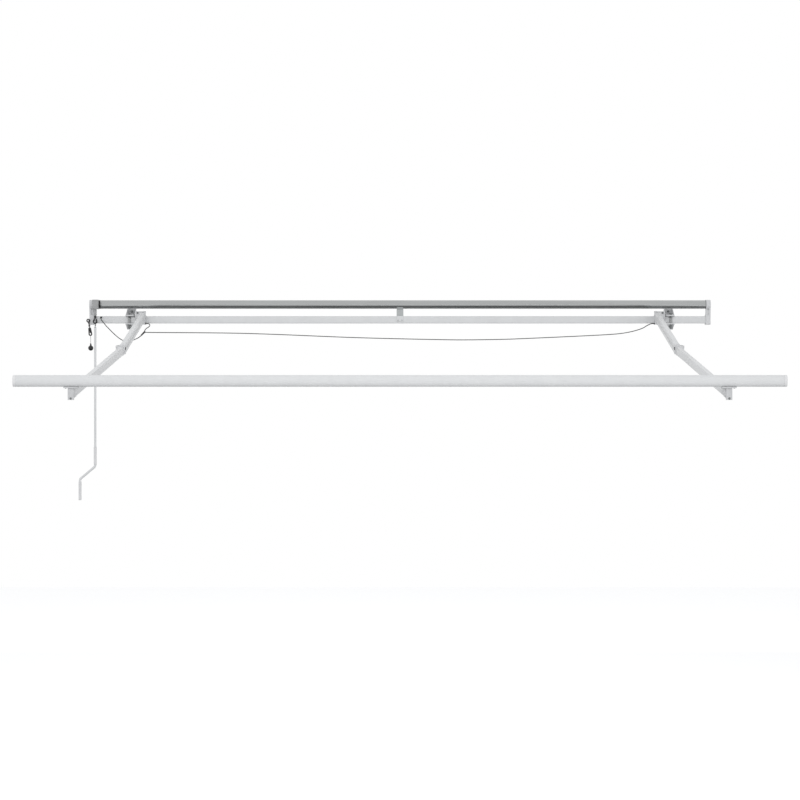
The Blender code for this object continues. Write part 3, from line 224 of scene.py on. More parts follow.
def baked(obj):
    """The object with its modifiers turned into plain mesh."""
    bpy.context.view_layer.update()
    mesh = bpy.data.meshes.new_from_object(obj.evaluated_get(bpy.context.evaluated_depsgraph_get()))
    obj.modifiers.clear()
    if obj.type == "MESH":
        obj.data = mesh
        return obj
    SCENE.collection.objects.unlink(obj)
    fresh = bpy.data.objects.new("shape", mesh)
    SCENE.collection.objects.link(fresh)
    return fresh


def welded(mesh, distance=1e-6):
    bm = bmesh.new()
    bm.from_mesh(mesh)
    bmesh.ops.remove_doubles(bm, verts=bm.verts, dist=distance)
    bmesh.ops.recalc_face_normals(bm, faces=bm.faces)
    bm.to_mesh(mesh)
    bm.free()
    return mesh


def prism(loops, start, end, axis, place=HERE):
    """Outlines filled and extruded along an axis; their points are on the next two axes."""
    curve = bpy.data.curves.new("outline", "CURVE")
    curve.dimensions = "2D"
    curve.fill_mode = "BOTH"
    curve.extrude = abs(end - start) / 2
    for loop in loops:
        spline = curve.splines.new("POLY")
        spline.points.add(len(loop) - 1)
        spline.use_cyclic_u = True
        for point, (a, b) in zip(spline.points, loop):
            point.co = (a, b, 0.0, 1.0)
    obj = bpy.data.objects.new("outline", curve)
    SCENE.collection.objects.link(obj)
    obj = baked(obj)
    welded(obj.data)
    obj.data.transform(place @ AXES[axis] @ Matrix.Translation((0, 0, (start + end) / 2)))
    return obj


def cylinder(r, start, end, axis, at, place=HERE, steps=FINE, top_r=None):
    mesh = bpy.data.meshes.new("cylinder")
    bm = bmesh.new()
    bmesh.ops.create_cone(bm, cap_ends=True, segments=steps, radius1=r, radius2=r if top_r is None else top_r,
                          depth=abs(end - start))
    bm.to_mesh(mesh)
    bm.free()
    return shape(mesh, place @ AXES[axis] @ Matrix.Translation((at[0], at[1], (start + end) / 2)))


def block(low, high, place=HERE):
    lo = Vector([min(a, b) for a, b in zip(low, high)])
    hi = Vector([max(a, b) for a, b in zip(low, high)])
    mesh = bpy.data.meshes.new("block")
    bm = bmesh.new()
    bmesh.ops.create_cube(bm, size=1.0)
    bmesh.ops.scale(bm, verts=bm.verts, vec=hi - lo)
    bm.to_mesh(mesh)
    bm.free()
    return shape(mesh, place @ Matrix.Translation((lo + hi) / 2))


def turned(profile, axis, at, place=HERE, steps=FINE, ring=False):
    """A revolved shape from a profile of (radius, height)."""
    bm = bmesh.new()
    verts = [bm.verts.new((r, 0.0, h)) for r, h in profile]
    edges = [bm.edges.new(pair) for pair in zip(verts, verts[1:] + (verts[:1] if ring else []))]
    bmesh.ops.spin(bm, geom=verts + edges, cent=(0, 0, 0), axis=(0, 0, 1), angle=2 * math.pi, steps=steps,
                   use_merge=True)
    mesh = bpy.data.meshes.new("turned")
    bm.to_mesh(mesh)
    bm.free()
    obj = shape(mesh, place @ AXES[axis] @ Matrix.Translation((at[0], at[1], 0.0)))
    welded(obj.data, 1e-5)
    return obj


def wire(points, r, resolution=6, cyclic=False):
    """A round bar bent along points."""
    curve = bpy.data.curves.new("wire", "CURVE")
    curve.dimensions = "3D"
    curve.bevel_depth = r
    curve.bevel_resolution = resolution
    curve.use_fill_caps = not cyclic
    spline = curve.splines.new("POLY")
    spline.points.add(len(points) - 1)
    spline.use_cyclic_u = cyclic
    for point, co in zip(spline.points, points):
        point.co = (*co, 1.0)
    obj = bpy.data.objects.new("wire", curve)
    SCENE.collection.objects.link(obj)
    obj = baked(obj)
    welded(obj.data)
    return obj


def ball(at, r, steps=28):
    mesh = bpy.data.meshes.new("ball")
    bm = bmesh.new()
    bmesh.ops.create_uvsphere(bm, u_segments=steps, v_segments=steps // 2, radius=r)
    bm.to_mesh(mesh)
    bm.free()
    return shape(mesh, Matrix.Translation(at))


def bar_between(a, b, r_start, r_end):
    a, b = Vector(a), Vector(b)
    mesh = bpy.data.meshes.new("bar")
    bm = bmesh.new()
    bmesh.ops.create_cone(bm, cap_ends=True, segments=24, radius1=r_start, radius2=r_end, depth=(b - a).length)
    bm.to_mesh(mesh)
    bm.free()
    turned_to = (b - a).to_track_quat("Z", "Y").to_matrix().to_4x4()
    return shape(mesh, Matrix.Translation((a + b) / 2) @ turned_to)


def changed(obj, tools, operation):
    for tool in tools:
        modifier = obj.modifiers.new("change", "BOOLEAN")
        modifier.operation = operation
        modifier.solver = "EXACT"
        modifier.object = tool
    baked(obj)
    for tool in tools:
        bpy.data.objects.remove(tool, do_unlink=True)
    return obj


def join(obj, *tools):
    return changed(obj, tools, "UNION")


def cut(obj, *tools):
    return changed(obj, tools, "DIFFERENCE")


def eased(obj, width, segments=2, angle=35):
    """Sharp edges broken by a small round, as on a casting or a moulding."""
    welded(obj.data, 2e-6)
    bm = bmesh.new()
    bm.from_mesh(obj.data)
    bmesh.ops.dissolve_limit(bm, angle_limit=math.radians(0.5), verts=bm.verts, edges=bm.edges)
    bm.to_mesh(obj.data)
    bm.free()
    modifier = obj.modifiers.new("edges", "BEVEL")
    modifier.width = width
    modifier.segments = segments
    modifier.limit_method = "ANGLE"
    modifier.angle_limit = math.radians(angle)
    modifier.use_clamp_overlap = True
    return baked(obj)


def piece(name, obj, body, finish, *nodes, edge=0.0, smooth=32):
    """Finish a shape: broken edges, smooth shading, its material, its body and the solids it stands for."""
    if edge:
        eased(obj, edge)
    obj.name = name
    obj.data.name = name
    obj.data.materials.clear()
    obj.data.materials.append(finish)
    obj.data.shade_smooth()
    obj.data.set_sharp_from_angle(angle=math.radians(smooth))
    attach(obj, body)
    if nodes:
        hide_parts(*nodes)
    return obj


def smooth_route(points, per_span=4):
    """Points along a smooth curve through a lead's own points."""
    pts = [Vector(p) for p in points]
    ends = [2 * pts[0] - pts[1]] + pts + [2 * pts[-1] - pts[-2]]
    route = []
    for a, b, c, d in zip(ends, ends[1:], ends[2:], ends[3:]):
        for i in range(per_span):
            t = i / per_span
            route.append(0.5 * (2 * b + (c - a) * t + (2 * a - 5 * b + 4 * c - d) * t * t
                                + (3 * b - a - 3 * c + d) * t ** 3))
    return route + [pts[-1]]


# Leads

LEAD_R = 0.0023
NOZZLE = 0.0078
GROMMET_X, GROMMET_Z = -1.685, 0.012
LEAD_START = (GROMMET_X, BAR_FRONT - 0.0031, GROMMET_Z)
SPLITTER_IN = Vector((-1.4612, -0.0700, -0.0893))
SPLITTER_OUT = Vector((-1.4430, -0.0680, -0.0700))
SPLIT_UP = Vector((0.35, 0.0, 1.0)).normalized()
SPLIT_ALONG = Vector((1.0, 0.0, -0.05)).normalized()


def lead(name, points, r, body, finish=CABLE_SHEATH):
    """A free lead on its route."""
    route = smooth_route(points)
    obj = piece(name + "_cover", wire(route, r), body, finish, name, smooth=60)
    return obj


def leads():
    inlet = SPLITTER_IN + (SPLITTER_OUT - SPLITTER_IN).normalized() * GAP
    body = bar_between(inlet, SPLITTER_OUT, 0.0040, 0.0050)
    join(body, ball(SPLITTER_OUT, 0.0050),
         bar_between(SPLITTER_OUT, SPLITTER_OUT + SPLIT_UP * NOZZLE, 0.0034, 0.0029),
         bar_between(SPLITTER_OUT, SPLITTER_OUT + SPLIT_ALONG * NOZZLE, 0.0034, 0.0029))
    splitter = piece("splitter_body", body, "wall_frame", BLACK_MOULDED, "cable_splitter", edge=0.0004)
    supply = [LEAD_START, (GROMMET_X, -0.0880, GROMMET_Z), (-1.6845, -0.0935, 0.0085),
              (-1.6825, -0.0955, 0.0000), (-1.6710, -0.0945, -0.0150), (-1.6540, -0.0930, -0.0360),
              (-1.6330, -0.0910, -0.0580), (-1.6110, -0.0890, -0.0800), (-1.5860, -0.0860, -0.1020),
              (-1.5610, -0.0820, -0.1170), (-1.5350, -0.0780, -0.1225), (-1.5080, -0.0750, -0.1160),
              (-1.4850, -0.0725, -0.1060), (-1.4720, -0.0710, -0.0985), SPLITTER_IN]
    lead("supply_lead", supply, LEAD_R, "wall_frame")
    branch = [SPLITTER_OUT + SPLIT_UP * (NOZZLE + GAP), SPLITTER_OUT + SPLIT_UP * (NOZZLE + 0.006),
              (-1.4320, -0.0715, -0.0500), (-1.4210, -0.0760, -0.0430), (-1.4120, -0.0800, -0.0360),
              (-1.4105, -0.0820, -0.0280), (-1.4170, -0.0823, -0.0232), (-1.4240, GLAND_Y, GLAND_Z),
              (-1.4293, GLAND_Y, GLAND_Z)]
    lead("cable_branch_left", branch, LEAD_R, "wall_frame")
    run = [SPLITTER_OUT + SPLIT_ALONG * (NOZZLE + GAP), SPLITTER_OUT + SPLIT_ALONG * 0.030,
           (-1.3000, -0.0680, -0.0722), (-1.1000, -0.0680, -0.0735), (-0.9032, -0.0680, -0.0762),
           (-0.6887, -0.0680, -0.0830), (-0.4714, -0.0680, -0.0920), (-0.2540, -0.0680, -0.1005),
           (0.0000, -0.0680, -0.1073), (0.2200, -0.0680, -0.1118), (0.3610, -0.0680, -0.1135),
           (0.5758, -0.0680, -0.1105), (0.7226, -0.0680, -0.1050), (0.9370, -0.0680, -0.0955),
           (1.1230, -0.0678, -0.0864), (1.2360, -0.0675, -0.0785), (1.3096, -0.0670, -0.0660),
           (1.3650, -0.0740, -0.0490), (1.3930, -0.0790, -0.0330), (1.4100, -0.0817, -0.0250),
           (1.4230, GLAND_Y, GLAND_Z), (1.4293, GLAND_Y, GLAND_Z)]
    lead("cable_run_right", run, LEAD_R, "wall_frame")


# What repeats, made by geometry nodes

def node_tree(name, inputs):
    """A geometry tree with named inputs: (name, socket type, default)."""
    tree = bpy.data.node_groups.new(name, "GeometryNodeTree")
    tree.interface.new_socket("Geometry", in_out="INPUT", socket_type="NodeSocketGeometry")
    for label, kind, default in inputs:
        socket = tree.interface.new_socket(label, in_out="INPUT", socket_type=kind)
        if default is not None:
            socket.default_value = default
    tree.interface.new_socket("Geometry", in_out="OUTPUT", socket_type="NodeSocketGeometry")
    entry = tree.nodes.new("NodeGroupInput")
    leave = tree.nodes.new("NodeGroupOutput")
    return tree, entry, leave


def ended(tree, leave, instances, material_socket):
    """Realize Instances and Set Material, which close each tree."""
    real = wired(tree, "GeometryNodeRealizeInstances", {"Geometry": instances}).outputs["Geometry"]
    done = wired(tree, "GeometryNodeSetMaterial", {"Geometry": real, "Material": material_socket})
    tree.links.new(done.outputs["Geometry"], leave.inputs["Geometry"])


def bolt_tree():
    """A bolt on each point of a mesh, along the point's own axis: washer, hexagon head and domed tip."""
    tree, entry, leave = node_tree("bolt_rows", (
        ("Head Radius", "NodeSocketFloat", 0.008), ("Head Height", "NodeSocketFloat", 0.006),
        ("Washer Radius", "NodeSocketFloat", 0.0105), ("Washer Height", "NodeSocketFloat", 0.0018),
        ("Tip Radius", "NodeSocketFloat", 0.0045), ("Tip Height", "NodeSocketFloat", 0.004),
        ("Sides", "NodeSocketInt", 6), ("Finish", "NodeSocketMaterial", None)))
    washer = wired(tree, "GeometryNodeMeshCylinder", {
        "Vertices": 28, "Radius": entry.outputs["Washer Radius"], "Depth": entry.outputs["Washer Height"]})
    head = wired(tree, "GeometryNodeMeshCylinder", {
        "Vertices": entry.outputs["Sides"], "Radius": entry.outputs["Head Radius"],
        "Depth": entry.outputs["Head Height"]})
    chamfer = wired(tree, "GeometryNodeMeshCone", {
        "Vertices": entry.outputs["Sides"], "Radius Bottom": entry.outputs["Head Radius"],
        "Depth": wired(tree, "ShaderNodeMath", {0: entry.outputs["Head Height"], 1: 0.14},
                       operation="MULTIPLY").outputs[0],
        "Radius Top": wired(tree, "ShaderNodeMath", {0: entry.outputs["Head Radius"], 1: 0.86},
                            operation="MULTIPLY").outputs[0]})
    tip = wired(tree, "GeometryNodeMeshCone", {
        "Vertices": 20, "Radius Bottom": entry.outputs["Tip Radius"], "Depth": entry.outputs["Tip Height"],
        "Radius Top": wired(tree, "ShaderNodeMath", {0: entry.outputs["Tip Radius"], 1: 0.72},
                            operation="MULTIPLY").outputs[0]})

    def raised(mesh, height):
        offset = wired(tree, "ShaderNodeCombineXYZ", {"Z": height}).outputs[0]
        return wired(tree, "GeometryNodeTransform", {"Geometry": mesh, "Translation": offset}).outputs[0]

    def half(socket, extra):
        halved = wired(tree, "ShaderNodeMath", {0: socket, 1: 0.5}, operation="MULTIPLY").outputs[0]
        return wired(tree, "ShaderNodeMath", {0: halved, 1: extra}, operation="ADD").outputs[0]

    washer_top = entry.outputs["Washer Height"]
    head_top = wired(tree, "ShaderNodeMath", {0: entry.outputs["Washer Height"], 1: entry.outputs["Head Height"]},
                     operation="ADD").outputs[0]
    joined = tree.nodes.new("GeometryNodeJoinGeometry")
    for mesh in (raised(washer.outputs["Mesh"], half(washer_top, 0.0)),
                 raised(head.outputs["Mesh"], half(entry.outputs["Head Height"], washer_top)),
                 raised(chamfer.outputs["Mesh"], head_top), raised(tip.outputs["Mesh"], head_top)):
        tree.links.new(mesh, joined.inputs["Geometry"])
    along = wired(tree, "GeometryNodeInputNamedAttribute", {"Name": "axis"}, data_type="FLOAT_VECTOR")
    facing = wired(tree, "FunctionNodeAlignRotationToVector", {"Vector": along.outputs["Attribute"]}, axis="Z")
    placed = wired(tree, "GeometryNodeInstanceOnPoints", {
        "Points": entry.outputs["Geometry"], "Instance": joined.outputs["Geometry"],
        "Rotation": facing.outputs["Rotation"]})
    ended(tree, leave, placed.outputs["Instances"], entry.outputs["Finish"])
    return tree


def ring_tree():
    """Fine rings in a row along an upright line, as the ribs of a hand grip."""
    tree, entry, leave = node_tree("grip_ribs", (
        ("Count", "NodeSocketInt", 9), ("Pitch", "NodeSocketFloat", 0.005),
        ("Ring Radius", "NodeSocketFloat", 0.008), ("Rib Radius", "NodeSocketFloat", 0.0005),
        ("Finish", "NodeSocketMaterial", None)))
    ring = wired(tree, "GeometryNodeCurvePrimitiveCircle", {
        "Resolution": 40, "Radius": entry.outputs["Ring Radius"]}, mode="RADIUS")
    rib = wired(tree, "GeometryNodeCurvePrimitiveCircle", {
        "Resolution": 8, "Radius": entry.outputs["Rib Radius"]}, mode="RADIUS")
    body = wired(tree, "GeometryNodeCurveToMesh", {
        "Curve": ring.outputs["Curve"], "Profile Curve": rib.outputs["Curve"]})
    step = wired(tree, "ShaderNodeCombineXYZ", {"Z": entry.outputs["Pitch"]}).outputs[0]
    row = wired(tree, "GeometryNodeMeshLine", {"Count": entry.outputs["Count"], "Offset": step})
    placed_row = wired(tree, "GeometryNodeInstanceOnPoints", {
        "Points": row.outputs["Mesh"], "Instance": body.outputs["Mesh"]}).outputs["Instances"]
    placed = wired(tree, "GeometryNodeInstanceOnPoints", {
        "Points": entry.outputs["Geometry"], "Instance": placed_row})
    ended(tree, leave, placed.outputs["Instances"], entry.outputs["Finish"])
    return tree


BOLTS = bolt_tree()
RIBS = ring_tree()


def grown(name, tree, points, settings, body, finish, axes=None, smooth=32):
    """Run a tree on a few points and keep its result as a plain mesh that rides on a body."""
    mesh = bpy.data.meshes.new(name)
    mesh.from_pydata([tuple(p) for p in points], [], [])
    if axes:
        attribute = mesh.attributes.new("axis", "FLOAT_VECTOR", "POINT")
        for item, axis in zip(attribute.data, axes):
            item.vector = axis
    obj = bpy.data.objects.new(name, mesh)
    SCENE.collection.objects.link(obj)
    modifier = obj.modifiers.new(name, "NODES")
    modifier.node_group = tree
    values = dict(settings, Finish=finish)
    for item in tree.interface.items_tree:
        if item.in_out == "INPUT" and item.name in values:
            modifier[item.identifier] = values[item.name]
    baked(obj)
    return piece(name, obj, body, finish, smooth=smooth)


# Torsion bar, its brackets and the roller

def wall_bracket(side, name):
    x = side * BRACKET_X
    front = LOCK_BOLT_Y - 0.008
    jaw = SEAT + JAW_T
    lip = 0.004
    outline = [(0, BRACKET_BOTTOM), (0, BRACKET_TOP), (-PLATE_T, BRACKET_TOP), (-PLATE_T, jaw),
               (front + lip, jaw)] + arc(front + lip, jaw - lip, lip, 90, 180, 5) + [
               (front, SEAT), (BAR_Y + SEAT, SEAT), (BAR_Y + SEAT, -SEAT), (front, -SEAT)] + arc(
               front + lip, -jaw + lip, lip, 180, 270, 5) + [(-PLATE_T, -jaw), (-PLATE_T, BRACKET_BOTTOM)]
    body = prism([outline], x - BRACKET_W / 2, x + BRACKET_W / 2, "X")
    for edge in (-1, 1):
        outer = x + edge * BRACKET_W / 2
        for z, tip in ((BRACKET_TOP, jaw), (BRACKET_BOTTOM, -jaw)):
            rib = [(-0.004, z), (-0.004, tip * 0.9), (front + 0.012, tip * 0.9), (front + 0.016, tip),
                   (-0.012, z)]
            join(body, prism([rib], outer - edge * 0.003, outer, "X"))
    cut(body, cylinder(0.0054, -0.060, 0.060, "Z", (side * LOCK_BOLT_X, LOCK_BOLT_Y)))
    piece("wall_bracket_cast_" + name, body, "wall_frame", CAST_COAT, "wall_bracket_" + name, edge=0.0012)
    points = [(x, -PLATE_T, z) for z in WALL_BOLT_Z]
    grown("wall_bolts_" + name, BOLTS, points,
          {"Head Radius": 0.0056, "Head Height": 0.0050, "Washer Radius": 0.0060, "Washer Height": 0.0012,
           "Tip Radius": 0.0030, "Tip Height": 0.0030}, "wall_frame", DARK_STEEL, axes=[(0, -1, 0)] * 2)


def bar_lock_bolt(side, name):
    """The upright bolt that locks the bar: hexagon head, shaft, washer and nut."""
    at = (side * LOCK_BOLT_X, LOCK_BOLT_Y)
    jaw = SEAT + JAW_T + GAP
    shaft = turned([(0, -0.052), (0.0042, -0.052), (0.0050, -0.0508), (0.0050, jaw + 0.004), (0, jaw + 0.004)],
                   "Z", at)
    sleeve = turned([(0.0052, 0.0090), (0.0064, 0.0090), (0.0068, 0.0086), (0.0068, -0.0194), (0.0064, -0.0198),
                     (0.0052, -0.0198)], "Z", at, ring=True)
    piece("bar_sleeve_" + name, sleeve, "wall_frame", GREY_CASTING)
    join(shaft, cylinder(0.0088, jaw, jaw + 0.0065, "Z", at, steps=6),
         cylinder(0.0080, 0.0094, 0.0196, "Z", at, steps=6),
         cylinder(0.0110, -jaw - 0.0022, -jaw, "Z", at),
         cylinder(0.0095, -jaw - 0.0200, -jaw - 0.0020, "Z", at, steps=6))
    piece("lock_bolt_" + name, shaft, "wall_frame", DARK_STEEL, "bar_lock_bolt_" + name, edge=0.0006)


def end_bracket(side, name):
    outer, inner = side * END_X, side * (END_X - 0.008)
    spine_end = 1.7130 if side < 0 else 1.7245
    socket = rounded(BAR_Y, 0, 0.052, 0.054, 0.004)
    stem = hull(circle(ROLLER_Y, ROLLER_Z, 0.020) + rounded(BAR_Y, 0, 0.040, 0.050, 0.004, 3))
    body = prism([stem], inner, outer, "X")
    join(body, prism([circle(ROLLER_Y, ROLLER_Z, 0.0262, 56)], inner, outer - side * 0.0005, "X"),
         prism([socket], inner, outer - side * 0.0003, "X"),
         prism([socket, rounded(BAR_Y, 0, 2 * SEAT, 2 * SEAT, 0.003)], inner + side * 0.001, side * 1.7240, "X"),
         block((inner + side * 0.001, BAR_Y - 0.014, 0.0255), (side * spine_end, BAR_Y + 0.004, 0.0590)))
    face = 0.0160 - WORM_X if side < 0 else 1.7315
    join(body, cylinder(0.0256 if side < 0 else 0.0230, side * face, inner + side * 0.001, "X", ROLLER_AXIS,
                        steps=56),
         block((inner + side * 0.001, BAR_Y - 0.013, 0.0560), (side * (face + 0.0006), BAR_Y + 0.003, 0.0680)))
    for z in (-0.014, 0.014):
        cut(body, cylinder(0.0042, outer - side * 0.0035, outer + side * 0.002, "X", (BAR_Y, z)))
    if side > 0:
        join(body, prism([circle(*ROLLER_AXIS, 0.0264, 56), circle(*ROLLER_AXIS, ROLLER_R + 0.0009, 56)],
                         1.7245, inner + 0.001, "X"))
        cut(body, cylinder(0.0073, 1.70, 1.80, "X", ROLLER_AXIS))
    else:
        join(body, block((outer + 0.001, PEG_REAR, PEG_Z - 0.004), (PEG_X - 0.0022, PEG_REAR + 0.006, PEG_Z + 0.004)),
             cylinder(PEG_R, PEG_FRONT, PEG_REAR + 0.001, "Y", (PEG_Z, PEG_X), steps=24),
             cylinder(0.0032, PEG_FRONT - 0.0015, PEG_FRONT + 0.0005, "Y", (PEG_Z, PEG_X), steps=24))
    piece("end_casting_" + name, body, "wall_frame", CAST_COAT, "end_bracket_" + name, edge=0.0009)
    screws = [(outer - side * 0.0035, BAR_Y, z) for z in (-0.014, 0.014)]
    grown("end_screws_" + name, BOLTS, screws,
          {"Head Radius": 0.0031, "Head Height": 0.0016, "Washer Radius": 0.0038, "Washer Height": 0.0004,
           "Tip Radius": 0.0012, "Tip Height": 0.0003}, "wall_frame", DARK_STEEL, axes=[(side, 0, 0)] * 2)


def channel_outline(r, depth, half_angle, steps=72):
    """A round tube's outline with the cloth channel pressed into its top."""
    points = []
    for i in range(steps):
        angle = 360.0 * i / steps
        if abs((angle - 90.0 + 180.0) % 360.0 - 180.0) > half_angle:
            points.append((angle, r))
    sides = [(90 - half_angle, r), (90 - half_angle * 0.62, r - depth),
             (90 + half_angle * 0.62, r - depth), (90 + half_angle, r)]
    return [(ROLLER_Y + q * math.cos(math.radians(a)), ROLLER_Z + q * math.sin(math.radians(a)))
            for a, q in sorted(points + sides)]


def roller():
    tube = prism([channel_outline(ROLLER_R, 0.0070, 9.0), channel_outline(ROLLER_R - 0.0012, 0.0072, 14.0)],
                 ROLLER_LEFT, ROLLER_RIGHT, "X")
    piece("roller_tube_rolled", tube, "roller", ROLLED_ZINC, "roller_tube", edge=0.0003)
    left = cylinder(ROLLER_R + 0.0003, ROLLER_LEFT - 0.0056, ROLLER_LEFT - GAP, "X", ROLLER_AXIS, steps=64)
    cut(left, block((ROLLER_LEFT - 0.02, ROLLER_Y - 0.0063, ROLLER_Z - 0.0063),
                    (ROLLER_LEFT + 0.010, ROLLER_Y + 0.0063, ROLLER_Z + 0.0063)))
    core = cylinder(ROLLER_R - 0.0017, ROLLER_LEFT - 0.001, ROLLER_LEFT + 0.034, "X", ROLLER_AXIS, steps=48)
    cut(core, block((ROLLER_LEFT - 0.002, ROLLER_Y - 0.0068, ROLLER_Z + 0.0145),
                    (ROLLER_LEFT + 0.04, ROLLER_Y + 0.0068, ROLLER_Z + 0.03)),
        block((ROLLER_LEFT - 0.02, ROLLER_Y - 0.0063, ROLLER_Z - 0.0063),
              (ROLLER_LEFT + 0.030, ROLLER_Y + 0.0063, ROLLER_Z + 0.0063)))
    piece("drive_plug", join(left, core), "roller", BLACK_MOULDED, "roller_plug_left", edge=0.0006)
    right = cylinder(ROLLER_R + 0.0003, ROLLER_RIGHT + GAP, ROLLER_RIGHT + 0.0065, "X", ROLLER_AXIS, steps=64)
    core = cylinder(ROLLER_R - 0.0017, ROLLER_RIGHT - 0.034, ROLLER_RIGHT + 0.001, "X", ROLLER_AXIS, steps=48)
    cut(core, block((ROLLER_RIGHT - 0.04, ROLLER_Y - 0.0068, ROLLER_Z + 0.0145),
                    (ROLLER_RIGHT + 0.002, ROLLER_Y + 0.0068, ROLLER_Z + 0.03)))
    join(right, cylinder(0.0070, ROLLER_RIGHT + 0.004, END_X - 0.002, "X", ROLLER_AXIS), core)
    piece("idle_plug", right, "roller", BLACK_MOULDED, "roller_plug_right", edge=0.0006)


def gear():
    worm = (WORM_X, WORM_Y)
    left, right = WORM_X - 0.0157, WORM_X + 0.0190
    body = cylinder(0.0265, left, right - 0.0005, "X", ROLLER_AXIS, steps=64)
    join(body, block((left + 0.0010, WORM_Y - 0.0140, ROLLER_Z - 0.0255),
                     (right, ROLLER_Y - 0.004, ROLLER_Z + 0.0255)),
         cylinder(0.0070, EYE_TOP + 0.0097, ROLLER_Z - 0.0240, "Z", worm))
    cut(body, cylinder(0.0248, WORM_X - 0.0080, WORM_X + 0.0098, "X", ROLLER_AXIS, steps=48),
        cylinder(0.0112, ROLLER_Z - 0.0225, ROLLER_Z + 0.0225, "Z", worm),
        cylinder(PIN_R + GAP, EYE_TOP, ROLLER_Z, "Z", worm),
        cylinder(0.0063, left - 0.002, WORM_X, "X", ROLLER_AXIS),
        cylinder(0.0102, WORM_X, right + 0.002, "X", ROLLER_AXIS))
    piece("gear_case", body, "wall_frame", GREY_CASTING, "gear_housing", edge=0.0010)
    screws = [(right, ROLLER_Y - 0.035, ROLLER_Z + dz) for dz in (0.0205, -0.0205)]
    grown("gear_screws", BOLTS, screws,
          {"Head Radius": 0.0030, "Head Height": 0.0018, "Washer Radius": 0.0034, "Washer Height": 0.0004,
           "Tip Radius": 0.0012, "Tip Height": 0.0003}, "wall_frame", BRIGHT_STEEL, axes=[(1, 0, 0)] * 2)


def roller_support():
    ring = ROLLER_R + 0.0006
    top = SEAT
    saddle = arc(*ROLLER_AXIS, ring, 220, 320, 20) + arc(*ROLLER_AXIS, ring + 0.004, 320, 220, 20)
    post = [(BAR_Y - 0.022, top), (BAR_Y + 0.0203, top), (BAR_Y + 0.0203, top + 0.006),
            (ROLLER_Y + 0.011, top + 0.012), (ROLLER_Y + 0.008, ROLLER_Z - ring - 0.002),
            (ROLLER_Y - 0.008, ROLLER_Z - ring - 0.002), (ROLLER_Y - 0.011, top + 0.012),
            (BAR_Y - 0.022, top + 0.006)]
    body = prism([post], -0.019, 0.019, "X")
    join(body, prism([saddle], -0.017, 0.017, "X"))
    cut(body, cylinder(0.0105, -0.03, 0.03, "X", (ROLLER_Y - 0.030, top + 0.020)))
    piece("saddle", body, "wall_frame", GREY_MOULDED, "roller_support", edge=0.0008)
    plate = block((-0.019, BAR_FRONT - 0.0038, -0.010), (0.019, BAR_FRONT - GAP, top + 0.0004))
    piece("saddle_plate", plate, "wall_frame", WHITE_COAT, edge=0.0008)
    grown("saddle_screws", BOLTS, [(x, BAR_FRONT - 0.0038, -0.003) for x in (-0.011, 0.011)],
          {"Head Radius": 0.0030, "Head Height": 0.0014, "Washer Radius": 0.0034, "Washer Height": 0.0004,
           "Tip Radius": 0.0012, "Tip Height": 0.0002}, "wall_frame", BRIGHT_STEEL, axes=[(0, -1, 0)] * 2)


def grommet():
    hub = cylinder(0.0046, BAR_FRONT - 0.0028, BAR_FRONT - GAP, "Y", (GROMMET_Z, GROMMET_X), top_r=0.0062)
    join(hub, cylinder(0.0042, BAR_FRONT - 0.001, BAR_FRONT + 0.004, "Y", (GROMMET_Z, GROMMET_X)))
    piece("bar_grommet", hub, "wall_frame", SEAL_RUBBER, "cable_grommet", edge=0.0004)


def torsion_bar():
    tube = prism([rounded(BAR_Y, 0, BAR_SIZE, BAR_SIZE, 0.004), rounded(BAR_Y, 0, BAR_SIZE - 0.004,
                                                                        BAR_SIZE - 0.004, 0.002)],
                 -BAR_END, BAR_END, "X")
    cut(tube, cylinder(0.0045, BAR_FRONT - 0.005, BAR_FRONT + 0.008, "Y", (GROMMET_Z, GROMMET_X)))
    piece("torsion_bar_coated", tube, "wall_frame", WHITE_COAT, "torsion_bar", edge=0.0004)


# Hand crank

def bent_path(points, radius, steps=5):
    pts = [Vector(p) for p in points]
    path = [pts[0]]
    for a, b, c in zip(pts, pts[1:], pts[2:]):
        u, v = (a - b).normalized(), (c - b).normalized()
        half = u.angle(v) / 2
        if half > math.radians(89):
            path.append(b)
            continue
        reach = radius / math.tan(half)
        centre = b + (u + v).normalized() * radius / math.sin(half)
        start = (b + u * reach - centre).normalized()
        end = (b + v * reach - centre).normalized()
        for i in range(steps + 1):
            path.append(centre + start.slerp(end, i / steps) * radius)
    path.append(pts[-1])
    return path


